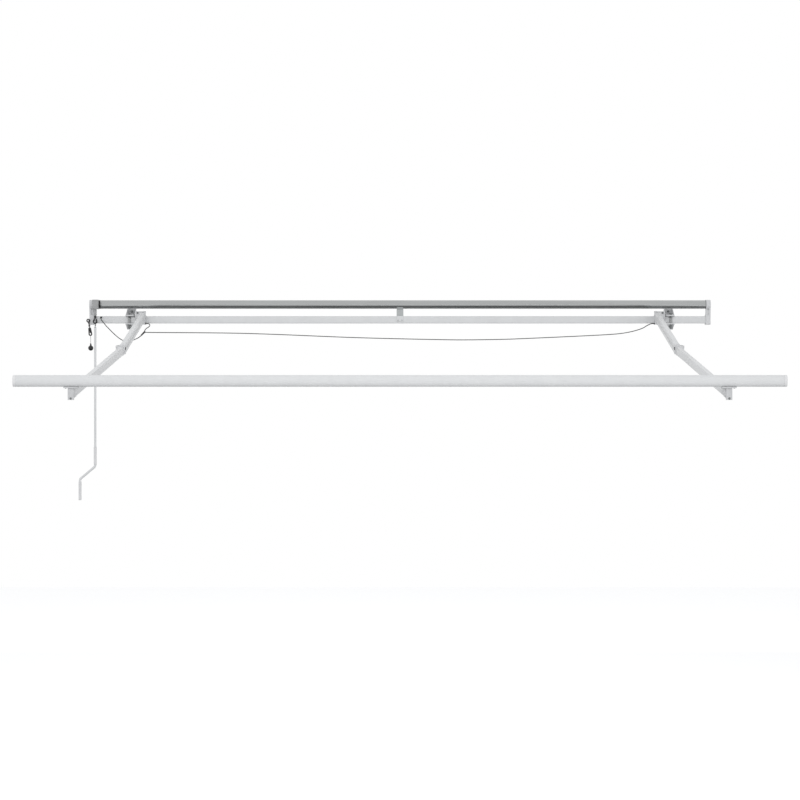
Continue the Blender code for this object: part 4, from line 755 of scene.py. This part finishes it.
def crank():
    at = (WORM_X, WORM_Y)
    centre_z = EYE_BOTTOM + EYE_HALF_W
    lean = math.degrees(math.asin(EYE_HALF_W / (EYE_TOP - centre_z)))
    loop = arc(WORM_X, centre_z, EYE_HALF_W, 180.0 - lean, 360.0 + lean, 28) + [(WORM_X, EYE_TOP)]
    eye = wire([(x, WORM_Y, z) for x, z in loop], EYE_R, cyclic=True)
    join(eye, cylinder(0.0050, EYE_TOP - 0.003, 0.0450, "Z", at),
         cylinder(0.0064, EYE_TOP - 0.0005, EYE_TOP + 0.0094, "Z", at))
    piece("gear_eye", eye, "crank", BLACK_MOULDED, "crank_eye", edge=0.0004)

    reach = 0.0120
    z_in = EYE_BOTTOM + EYE_R + HOOK_R + 0.0010
    path = [(0, 0, ROD_TOP + 0.0020), (0, 0, -0.0375), (0, reach, -0.0290), (0, reach, z_in),
            (0, -reach, z_in), (0, -reach, z_in - 0.0052)]
    hook = wire([(WORM_X + x, WORM_Y + y, z) for x, y, z in bent_path(path, 0.0048, 8)], HOOK_R)
    join(hook, cylinder(ROD_R - 0.0008, ROD_TOP + GAP, ROD_TOP + 0.0050, "Z", at))
    piece("hook_bent", hook, "crank", BRIGHT_STEEL, "crank_hook", edge=0.0006)

    low_x = WORM_X - CRANK_OFFSET
    path = [(WORM_X, WORM_Y, ROD_TOP), (WORM_X, WORM_Y, CRANK_BEND_Z), (low_x, WORM_Y, CRANK_LOW_Z),
            (low_x, WORM_Y, CRANK_END_Z + 0.003)]
    rod = wire(bent_path(path, 0.018, 12), ROD_R, resolution=8)
    for x, z in ((WORM_X, -0.7180), (WORM_X, -0.8160), (low_x, -0.9140)):
        join(rod, cylinder(ROD_R + 0.0012, z - 0.0020, z + 0.0020, "Z", (x, WORM_Y)))
    join(rod, cylinder(ROD_R + 0.0014, CRANK_END_Z, CRANK_END_Z + 0.0040, "Z", (low_x, WORM_Y)))
    piece("crank_rod_coated", rod, "crank", WHITE_COAT, "crank_rod", edge=0.0006)

    for name, body, x, high, low in (("grip_upper", "upper_grip", WORM_X, -0.7203, -0.8137),
                                     ("grip_lower", "lower_grip", low_x, -0.9163, CRANK_END_Z + 0.0043)):
        inner, outer = ROD_R + 0.0004, ROD_R + 0.0016
        mid = (high + low) / 2
        profile = [(inner, high), (outer - 0.0004, high), (outer, high - 0.0004), (outer + 0.0004, high - 0.002),
                   (outer, high - 0.005), (outer - 0.0003, mid), (outer, low + 0.005),
                   (outer + 0.0004, low + 0.002), (outer, low + 0.0004), (outer - 0.0004, low), (inner, low)]
        piece(name + "_sleeve", turned(profile, "Z", (x, WORM_Y), ring=True), body, WHITE_MOULDED, name)
        grown(name + "_ribs", RIBS, [(x, WORM_Y, low + 0.0105)],
              {"Count": 15, "Pitch": (high - low - 0.021) / 14, "Ring Radius": outer - 0.0002,
               "Rib Radius": 0.0006}, body, WHITE_MOULDED)


# Pendant

def pendant_point(top, drop):
    return (PEG_X + drop * math.sin(PENDANT_LEAN), PENDANT_Y, top - drop * math.cos(PENDANT_LEAN))


def pendant():
    centre = PEG_Z + PEG_R + GAP - (RING_MAJOR - RING_MINOR)
    ring = wire([(x, PENDANT_Y, z) for x, z in circle(PEG_X, centre, RING_MAJOR)], RING_MINOR, cyclic=True)
    bead = pendant_point(centre, 0.0297)
    join(ring, bar_between(pendant_point(centre, 0.0080), bead, 0.0044, 0.0024), ball(bead, 0.0058),
         bar_between(bead, pendant_point(centre, 0.0382), 0.0024, 0.0020))
    piece("pendant_eye", ring, "pendant", BLACK_MOULDED, "pendant_ring", edge=0.0003)

    top, low = Vector(HOOK_TOP), Vector(HOOK_LOW)
    length = (low - top).length
    lean = math.atan2(low.x - top.x, top.y - low.y)
    points = []
    for px, pz in arc(0, -0.0045, 0.0045, 0, 180, 14) + arc(0, -length + 0.0075, 0.0072, 180, 360, 20):
        x = top.x + px * math.cos(lean) - pz * math.sin(lean)
        z = top.y + px * math.sin(lean) + pz * math.cos(lean)
        points.append((x, PENDANT_Y, z))
    hook = wire(points, 0.0036, cyclic=True)
    join(hook, bar_between((top.x + 0.001, PENDANT_Y, top.y - 0.004), (low.x - 0.001, PENDANT_Y, low.y + 0.012),
                           0.0034, 0.0022))
    snap = piece("snap_hook", hook, "pendant", BLACK_MOULDED, "pendant_hook", edge=0.0003)

    pull_top = CORD_END[1] - GAP
    profile = [(0.0, pull_top), (0.0026, pull_top), (0.0030, pull_top - 0.0005), (0.0036, pull_top - 0.0020),
               (0.0046, pull_top - 0.0110)]
    middle, r = pull_top - 0.0265, 0.0145
    profile += [(r * math.sin(math.radians(a)), middle + r * math.cos(math.radians(a)))
                for a in range(26, 180, 7)]
    profile.append((0.0, middle - r))
    pull = piece("pendant_pull", turned(profile, "Z", (CORD_END[0], PENDANT_Y)), "pendant", BLACK_MOULDED,
                 "pendant_ball", smooth=60)
    stops = [CORD_TOP, (-1.7421, -0.1010), (-1.7419, -0.1120), (-1.7417, -0.1230), CORD_END]
    points = [(x, PENDANT_Y, z) for x, z in stops]
    lead("pendant_cord", points, 0.0010, "pendant", BLACK_CORD)
    return snap


# Arms

def shoulder_plane(side):
    return Matrix.Translation((side * SHOULDER_X, SHOULDER_Y, SHOULDER_Z)) @ Matrix.Rotation(TILT, 4, "X")


def hinge_pin(name, at, half, place, body, node):
    """A hinge pin with a domed head, a groove and a clip."""
    x, y = at
    profile = [(0, half + 0.0030), (0.0040, half + 0.0028), (0.0066, half + 0.0022), (0.0080, half + 0.0010),
               (0.0082, half + GAP), (PIN_R, half + GAP), (PIN_R, -half - GAP), (0.0070, -half - GAP),
               (0.0070, -half - 0.0012), (0.0042, -half - 0.0013), (0.0042, -half - 0.0020),
               (0.0034, -half - 0.0026), (0, -half - 0.0026)]
    piece(name, turned(profile, "Z", (x, y), place), body, BRIGHT_STEEL, node)


def knuckle(at, block_x, block_y, width, r, place, bore):
    outline = hull(circle(at[0], at[1], r) + [(block_x - width / 2, block_y), (block_x + width / 2, block_y)])
    return prism([outline, circle(at[0], at[1], bore, 32)], -KNUCKLE_HALF, KNUCKLE_HALF, "Z", place)


def arm_profile(x, start, end, width, height, side, groove, place):
    wall = 0.0020
    outer = rounded(0, x, height, width, 0.004)
    if not groove:
        return prism([outer, rounded(0, x, height - 2 * wall, width - 2 * wall, 0.002)], start, end, "Y", place)
    depth = 0.0024
    inner = rounded(0, x + side * depth / 2, height - 2 * wall, width - 2 * wall - depth, 0.002)
    body = prism([outer, inner], start, end, "Y", place)
    face = x - side * width / 2
    return cut(body, block((face - side * 0.001, start - 0.001, -STRIP_H / 2),
                           (face + side * depth, end + 0.001, STRIP_H / 2), place))


def shoulder_clamp(side, name):
    near, far = side * 1.436, side * 1.490
    pivot_y, pivot_z = PITCH_PIVOT
    front = BAR_Y - 0.0263
    body = prism([rounded(BAR_Y, 0, 0.0526, 0.0526, 0.005), rounded(BAR_Y, 0, 2 * SEAT, 2 * SEAT, 0.003)],
                 near, far, "X")
    rim = [p for y, z in arc(pivot_y, pivot_z, LOCK_RADIUS, *SLOT_ANGLES, 6) for p in circle(y, z, 0.0068)]
    ear = hull(circle(pivot_y, pivot_z, 0.0128) + rim + [(front + 0.003, -0.014), (front + 0.003, 0.024)])
    width = 0.0034
    slot = []
    for radius, (start, end) in ((LOCK_RADIUS + width, SLOT_ANGLES), (LOCK_RADIUS - width, SLOT_ANGLES[::-1])):
        slot += arc(pivot_y, pivot_z, radius, start, end, 12)
    for a, b in ((near, near + side * 0.009), (far - side * 0.009, far)):
        join(body, prism([ear, slot], a, b, "X"))
    inner = hull([(front + 0.001, 0.010), (front + 0.001, 0.0262), (front - 0.004, 0.0262)])
    join(body, prism([inner], near + side * 0.008, far - side * 0.008, "X"),
         cylinder(0.0050, front - 0.0088, front + 0.001, "Y", (-0.005, side * 1.4850)))
    piece("bar_clamp_" + name, body, "wall_frame", CAST_COAT, "shoulder_clamp_" + name, edge=0.0008)
    pin = cylinder(0.0045, near + side * 0.002, far - side * 0.002, "X", PITCH_PIVOT)
    join(pin, cylinder(0.0075, far + side * GAP, far + side * 0.0050, "X", PITCH_PIVOT, steps=6),
         cylinder(0.0044, far - side * 0.003, far + side * 0.001, "X", PITCH_PIVOT))
    piece("pitch_bolt_" + name, pin, "wall_frame", DARK_STEEL, edge=0.0005)
    grown("clamp_screw_" + name, BOLTS, [(side * 1.4850, front - 0.0085, -0.005)],
          {"Head Radius": 0.0042, "Head Height": 0.0026, "Washer Radius": 0.0047, "Washer Height": 0.0005,
           "Tip Radius": 0.0018, "Tip Height": 0.0003}, "wall_frame", DARK_STEEL, axes=[(0, -1, 0)])
    start = side * (1.436 - GAP)
    gland = cylinder(0.0045, start, start - side * 0.0025, "X", (GLAND_Y, GLAND_Z))
    join(gland, cylinder(0.0034, start - side * 0.0020, start - side * 0.0060, "X", (GLAND_Y, GLAND_Z)))
    piece("lead_gland_" + name, gland, "wall_frame", SEAL_RUBBER, "cable_gland_" + name, edge=0.0004)


def shoulder_swivel(side, name, plane):
    x, back = side * SHOULDER_X, PITCH_BACK
    lock = Matrix.Rotation(-TILT, 2) @ Vector((0.0, LOCK_RADIUS))
    lock_at = (back + lock.x, lock.y)
    near, far = side * 1.4453 - x, side * 1.4807 - x
    hub = hull(circle(back, 0, 0.0110) + circle(*lock_at, 0.0056))
    body = prism([hub, circle(back, 0, 0.0049, 32)], near, far, "X", plane)
    join(body, block((near + side * 0.0005, back - 0.0060, -0.0095), (far - side * 0.0005, 0.0210, 0.0095), plane),
         block((side * 1.4290 - x, 0.0265, -0.0237), (side * 1.4795 - x, 0.0180, 0.0237), plane))
    for low, high in ((LUG_INNER, 0.0230), (-0.0230, -LUG_INNER)):
        lug = hull(circle(0, 0, 0.0140) + [(-0.0128, 0.0200), (0.0128, 0.0200)])
        join(body, prism([lug, circle(0, 0, 0.0053, 32)], low, high, "Z", plane))
    piece("swivel_casting_" + name, body, f"{name}_swivel", CAST_COAT, "shoulder_swivel_" + name, edge=0.0008)
    bolt = cylinder(0.0029, side * 1.4345 - x, side * 1.4925 - x, "X", lock_at, plane)
    join(bolt, cylinder(0.0058, side * 1.4903 - x, side * 1.4955 - x, "X", lock_at, plane, steps=6),
         cylinder(0.0058, side * 1.4357 - x, side * 1.4305 - x, "X", lock_at, plane, steps=6))
    piece("lock_screw_" + name, bolt, f"{name}_swivel", DARK_STEEL, edge=0.0005)
    stop_at = plane @ Vector((side * 1.4740 - x, 0.0180, 0.0188))
    grown("stop_screw_" + name, BOLTS, [stop_at],
          {"Head Radius": 0.0050, "Head Height": 0.0034, "Washer Radius": 0.0054, "Washer Height": 0.0006,
           "Tip Radius": 0.0020, "Tip Height": 0.0003}, f"{name}_swivel", DARK_STEEL,
          axes=[plane.to_3x3() @ Vector((0, -1, 0))])


def arm(side, name, plane):
    lean_in = math.asin(ELBOW_IN / UPPER_LENGTH) + math.asin(ELBOW_SIDE / UPPER_LENGTH)
    upper = plane @ Matrix.Rotation(-side * lean_in, 4, "Z")
    elbow = (side * ELBOW_SIDE, -math.sqrt(UPPER_LENGTH ** 2 - ELBOW_SIDE ** 2))
    body = f"{name}_upper"
    plug_w, plug_h, edge = UPPER_W - 0.0068, UPPER_H - 0.0046, 0.0012

    knuckle_at = knuckle((0, 0), 0, -0.0220, UPPER_W, 0.0138, upper, 0.0053)
    join(knuckle_at, block((-UPPER_W / 2, -0.0200, -UPPER_H / 2), (UPPER_W / 2, -0.0500, UPPER_H / 2), upper))
    join(knuckle_at, prism([rounded(0, side * 0.0012, plug_h, plug_w, 0.0016)], -0.0900, -0.0490, "Y", upper))
    piece("shoulder_eye_" + name, knuckle_at, body, CAST_COAT, "shoulder_knuckle_" + name, edge=edge)
    hinge_pin("shoulder_hinge_pin_" + name, (0, 0), 0.0230, plane, f"{name}_swivel", "shoulder_pin_" + name)

    profile_end = elbow[1] + 0.0450
    tube = arm_profile(0, profile_end + GAP, -0.0503, UPPER_W, UPPER_H, side, True, upper)
    piece("upper_profile_" + name, tube, body, WHITE_COAT, "upper_arm_" + name, edge=0.0004)
    face = -side * UPPER_W / 2
    lens = [(-STRIP_H / 2 + GAP, face + side * 0.0021), (-STRIP_H / 2 + GAP, face + side * 0.0004),
            (-0.0040, face), (0.0040, face), (STRIP_H / 2 - GAP, face + side * 0.0004),
            (STRIP_H / 2 - GAP, face + side * 0.0021)]
    piece("light_lens_" + name, prism([lens], profile_end + 0.0040, -0.0540, "Y", upper), body, DIFFUSER,
          "light_strip_" + name)

    fork = block((-UPPER_W / 2, elbow[1] + 0.0200, -UPPER_H / 2), (UPPER_W / 2, profile_end, UPPER_H / 2), upper)
    join(fork, prism([rounded(0, side * 0.0012, plug_h, plug_w, 0.0016)], profile_end - 0.001,
                     profile_end + 0.0400, "Y", upper))
    for low, high in ((LUG_INNER, 0.0230), (-0.0230, -LUG_INNER)):
        lug = hull(circle(*elbow, 0.0140) + [(-UPPER_W / 2 + 0.001, elbow[1] + 0.0220),
                                             (UPPER_W / 2 - 0.001, elbow[1] + 0.0300)])
        join(fork, prism([lug, circle(*elbow, 0.0053, 32)], low, high, "Z", upper))
    piece("elbow_casting_" + name, fork, body, CAST_COAT, "elbow_fork_" + name, edge=edge)
    screw_at = upper @ Vector((face, elbow[1] + 0.0290, 0.004))
    outward = (upper.to_3x3() @ Vector((-side, 0, 0)))
    grown("elbow_screw_" + name, BOLTS, [screw_at],
          {"Head Radius": 0.0078, "Head Height": 0.0020, "Washer Radius": 0.0084, "Washer Height": 0.0005,
           "Tip Radius": 0.0040, "Tip Height": 0.0004, "Sides": 24}, body, SEAL_RUBBER, axes=[outward])
    hinge_pin("elbow_hinge_pin_" + name, elbow, 0.0230, upper, body, "elbow_pin_" + name)

    fore_in = math.asin((ELBOW_IN + FRONT_PIVOT_X - SHOULDER_X) / FORE_LENGTH)
    fore_lean = fore_in + math.asin(ELBOW_SIDE / FORE_LENGTH)
    fore = upper @ Matrix.Translation((*elbow, 0)) @ Matrix.Rotation(side * (lean_in + fore_lean), 4, "Z")
    reach = math.sqrt(FORE_LENGTH ** 2 - ELBOW_SIDE ** 2)
    cx = -side * ELBOW_SIDE
    body = f"{name}_fore"
    plug_w, plug_h = FORE_W - 0.0046, FORE_H - 0.0046
    tongue = knuckle((0, 0), cx, -0.0200, FORE_W, 0.0130, fore, 0.0053)
    join(tongue, block((cx - FORE_W / 2, -0.0180, -FORE_H / 2), (cx + FORE_W / 2, -0.0400, FORE_H / 2), fore),
         prism([rounded(0, cx, plug_h, plug_w, 0.0016)], -0.0750, -0.0390, "Y", fore))
    piece("elbow_eye_" + name, tongue, body, CAST_COAT, "elbow_tongue_" + name, edge=edge)
    fore_end = -reach + 0.0450
    tube = arm_profile(cx, fore_end + GAP, -0.0403, FORE_W, FORE_H, side, False, fore)
    piece("fore_profile_" + name, tube, body, WHITE_COAT, "forearm_" + name, edge=0.0004)
    nose = knuckle((cx, -reach), cx, -reach + 0.0210, FORE_W, 0.0125, fore, 0.0080)
    join(nose, block((cx - FORE_W / 2, -reach + 0.0180, -FORE_H / 2), (cx + FORE_W / 2, fore_end, FORE_H / 2), fore),
         prism([rounded(0, cx, plug_h, plug_w, 0.0016)], fore_end - 0.001, fore_end + 0.0350, "Y", fore))
    piece("front_eye_" + name, nose, body, CAST_COAT, "front_knuckle_" + name, edge=edge)
    return fore @ Vector((cx, -reach, 0.0))


# Front bar

def front_profile(shrink=0.0, steps=30):
    back = FRONT_Y + FRONT_D / 2 - shrink
    low, high = FRONT_Z - FRONT_H / 2 + shrink, FRONT_Z + FRONT_H / 2 - shrink
    bow = FRONT_D * 0.42
    points = arc(back - 0.003, low + 0.003, 0.003, -90, 0, 5) + arc(back - 0.003, high - 0.003, 0.003, 0, 90, 5)
    for i in range(steps + 1):
        a = math.radians(90 + 180 * i / steps)
        points.append((back - FRONT_D + bow + 2 * shrink + bow * math.cos(a),
                       (low + high) / 2 + (high - low) / 2 * math.sin(a)))
    return points


def front_bar():
    end = HALF_WIDTH - CAP_T - GAP
    low, high = FRONT_Z - FRONT_H / 2, FRONT_Z + FRONT_H / 2
    back = FRONT_Y + FRONT_D / 2
    hollow = prism([front_profile(0.0022)], -HALF_WIDTH, HALF_WIDTH, "X")
    body = prism([front_profile()], -end, end, "X")
    for y, z, up in ((back - 0.0090, high - 0.0056, 1), (FRONT_Y + 0.002, low + 0.0056, -1)):
        cut(hollow, cylinder(0.0056, -1.1 * HALF_WIDTH, 1.1 * HALF_WIDTH, "X", (y, z), steps=24))
        cut(body, cylinder(0.0036, -HALF_WIDTH, HALF_WIDTH, "X", (y, z), steps=24),
            block((-HALF_WIDTH, y - 0.0014, z), (HALF_WIDTH, y + 0.0014, z + up * 0.02)))
    cut(body, hollow)
    piece("front_profile_coated", body, "front", WHITE_COAT, "front_bar", edge=0.0004)


def front_end(side, name):
    inner = side * (HALF_WIDTH - CAP_T)
    plate = prism([front_profile()], inner, side * HALF_WIDTH, "X")
    join(plate, block((inner + side * 0.001, FRONT_Y - 0.013, FRONT_Z - 0.0135),
                      (inner - side * 0.025, FRONT_Y + 0.0195, FRONT_Z + 0.0135)))
    piece("bar_cap_" + name, plate, "front", WHITE_MOULDED, "front_cap_" + name, edge=0.0016)


def front_bracket(side, name, pivot):
    x = side * FRONT_PIVOT_X
    under = FRONT_Z - FRONT_H / 2 - GAP
    tilted = Matrix.Translation(pivot) @ Matrix.Rotation(TILT, 4, "X")
    body = prism([rounded(x, FRONT_Y + 0.001, 0.0656, 0.0400, 0.004)], under - 0.0055, under, "Z")
    web_front = pivot.y - 0.0300
    join(body, block((x - 0.0135, web_front, under - 0.005), (x + 0.0135, pivot.y - 0.0165, -0.4527)))
    for low, high in ((LUG_INNER, 0.0205), (-0.0205, -LUG_INNER)):
        lug = hull(circle(0, 0, 0.0130) + [(-0.0124, -0.0200), (0.0124, -0.0200)])
        join(body, prism([lug], low, high, "Z", tilted))
    join(body, block((x - 0.0128, pivot.y - 0.0180, under - 0.004), (x + 0.0128, pivot.y + 0.0040, pivot.z + 0.0180)))
    # The front casting takes the darker casting coat, painted shade from the bar above it
    piece("front_casting_" + name, body, "front", PAINTED_SHADE_CASTING_COAT, "front_bracket_" + name, edge=0.0008)
    pin = cylinder(PIN_R, -0.0170, 0.0160, "Z", (0, 0), tilted)
    join(pin, cylinder(0.0076, -0.0232, -0.0208, "Z", (0, 0), tilted), cylinder(0.0045, -0.0210, -0.0165, "Z",
                                                                                (0, 0), tilted))
    piece("front_hinge_pin_" + name, pin, "front", BRIGHT_STEEL, edge=0.0005)
    grown("front_lock_screw_" + name, BOLTS, [(x + side * 0.0002, web_front, -0.4462)],
          {"Head Radius": 0.0044, "Head Height": 0.0024, "Washer Radius": 0.0050, "Washer Height": 0.0005,
           "Tip Radius": 0.0018, "Tip Height": 0.0003}, "front", DARK_STEEL, axes=[(0, -1, 0)])
    screws = [(x + dx, FRONT_Y + 0.001, under - 0.0055) for dx in (-0.0250, 0.0250)]
    grown("front_screws_" + name, BOLTS, screws,
          {"Head Radius": 0.0040, "Head Height": 0.0020, "Washer Radius": 0.0048, "Washer Height": 0.0004,
           "Tip Radius": 0.0018, "Tip Height": 0.0003}, "front", BRIGHT_STEEL, axes=[(0, 0, -1)] * 2)


# Stage and light

def white_to_the_eye(tree):
    """One where the camera or a mirror-like surface looks, nought for the object's own light."""
    path = wired(tree, "ShaderNodeLightPath")
    seen = path.outputs["Is Camera Ray"]
    for ray in ("Is Glossy Ray", "Is Transmission Ray"):
        seen = wired(tree, "ShaderNodeMath", {0: seen, 1: path.outputs[ray]}, operation="MAXIMUM").outputs[0]
    return seen


def painted_reflection_tone():
    """Painted dark reflection: a sheet tone, darker near the object and paler towards the front, so that the dark
    reflection it paints on the metal fades out.
    """
    material = surface("painted_dark_reflection", (0.100, 0.100, 0.100), 0.95, grain=60, depth=0.0005, vary=0.1)
    tree = material.node_tree
    place = wired(tree, "ShaderNodeTexCoord").outputs["Object"]
    along = wired(tree, "ShaderNodeSeparateXYZ", {"Vector": place}).outputs["Y"]
    tone = wired(tree, "ShaderNodeMapRange", {"Value": along, "From Min": -5.0, "From Max": -0.3,
                                              "To Min": 0.62, "To Max": 0.09})
    tree.links.new(tone.outputs["Result"], tree.nodes["Principled BSDF"].inputs["Base Color"])
    return material


def stage():
    floor_mesh = bpy.data.meshes.new("floor")
    half, low = 9.0, -2.30
    floor_mesh.from_pydata([(-half, -half - 1, low), (half, -half - 1, low), (half, half, low), (-half, half, low)],
                           [], [(0, 1, 2, 3)])
    floor = bpy.data.objects.new("floor", floor_mesh)
    SCENE.collection.objects.link(floor)
    material = bpy.data.materials.new("pale_floor")
    material.use_nodes = True
    tree = material.node_tree
    shader = tree.nodes["Principled BSDF"]
    shader.inputs["Base Color"].default_value = (0.80, 0.80, 0.80, 1.0)
    shader.inputs["Roughness"].default_value = 0.9
    glow = wired(tree, "ShaderNodeEmission", {"Color": (1, 1, 1, 1), "Strength": 0.45})
    seen = white_to_the_eye(tree)
    dark = wired(tree, "ShaderNodeEmission", {"Color": (0, 0, 0, 1), "Strength": 0.0})
    lit = wired(tree, "ShaderNodeMixShader", {0: seen, 1: dark.outputs[0], 2: glow.outputs[0]})
    both = wired(tree, "ShaderNodeAddShader", {0: shader.outputs[0], 1: lit.outputs[0]})
    tree.links.new(both.outputs[0], tree.nodes["Material Output"].inputs["Surface"])
    floor.data.materials.append(material)
    # A sheet under the frame that only glossy rays see: it paints a dark reflection into the metal's lower side
    card_mesh = bpy.data.meshes.new("painted_reflection_card")
    card_mesh.from_pydata([(-3.4, -5.0, low + 0.01), (3.4, -5.0, low + 0.01), (3.4, 3.6, low + 0.01),
                           (-3.4, 3.6, low + 0.01)], [], [(0, 1, 2, 3)])
    card = bpy.data.objects.new("painted_reflection_card", card_mesh)
    SCENE.collection.objects.link(card)
    card.data.materials.append(painted_reflection_tone())
    # Hidden from the camera, diffuse light and shadows, so it is only a painted reflection
    card.visible_camera = card.visible_diffuse = card.visible_shadow = False

    world = bpy.data.worlds.new("studio")
    SCENE.world = world
    world.use_nodes = True
    tree = world.node_tree
    base = tree.nodes["Background"]
    base.inputs["Color"].default_value = (0.97, 0.98, 1.0, 1.0)
    base.inputs["Strength"].default_value = 0.60
    white = wired(tree, "ShaderNodeBackground", {"Color": (1, 1, 1, 1), "Strength": 1.0})
    mixed = wired(tree, "ShaderNodeMixShader", {0: white_to_the_eye(tree), 1: base.outputs[0],
                                                2: white.outputs[0]})
    tree.links.new(mixed.outputs[0], tree.nodes["World Output"].inputs["Surface"])

    for name, at, size, energy in (("key", (-2.5, -9.5, 5.0), 4.5, 265.0), ("fill", (4.0, -9.5, 0.2), 4.0, 95.0),
                                   ("rear", (0.0, 3.5, 4.5), 4.0, 60.0)):
        data = bpy.data.lights.new(name, "AREA")
        data.shape = "DISK"
        data.size = size
        data.energy = energy
        lamp = bpy.data.objects.new(name, data)
        lamp.location = at
        lamp.visible_glossy = False
        lamp.rotation_euler = (Vector((0.0, -0.8, -0.3)) - Vector(at)).to_track_quat("-Z", "Y").to_euler()
        SCENE.collection.objects.link(lamp)


leads()
torsion_bar()
grommet()
gear()
roller_support()
roller()
crank()
pendant()
front_bar()
for side, name in ((-1, "left"), (1, "right")):
    wall_bracket(side, name)
    bar_lock_bolt(side, name)
    end_bracket(side, name)
    shoulder_clamp(side, name)
    plane = shoulder_plane(side)
    shoulder_swivel(side, name, plane)
    front_pivot = arm(side, name, plane)
    front_end(side, name)
    front_bracket(side, name, front_pivot)
for node, finish in (("worm_wheel", BRONZE), ("crank_worm", BRIGHT_STEEL), ("arm_spring_left", BRIGHT_STEEL),
                     ("arm_spring_right", BRIGHT_STEEL)):
    for index in range(len(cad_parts[node].material_slots)):
        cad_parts[node].material_slots[index].material = finish
stage()
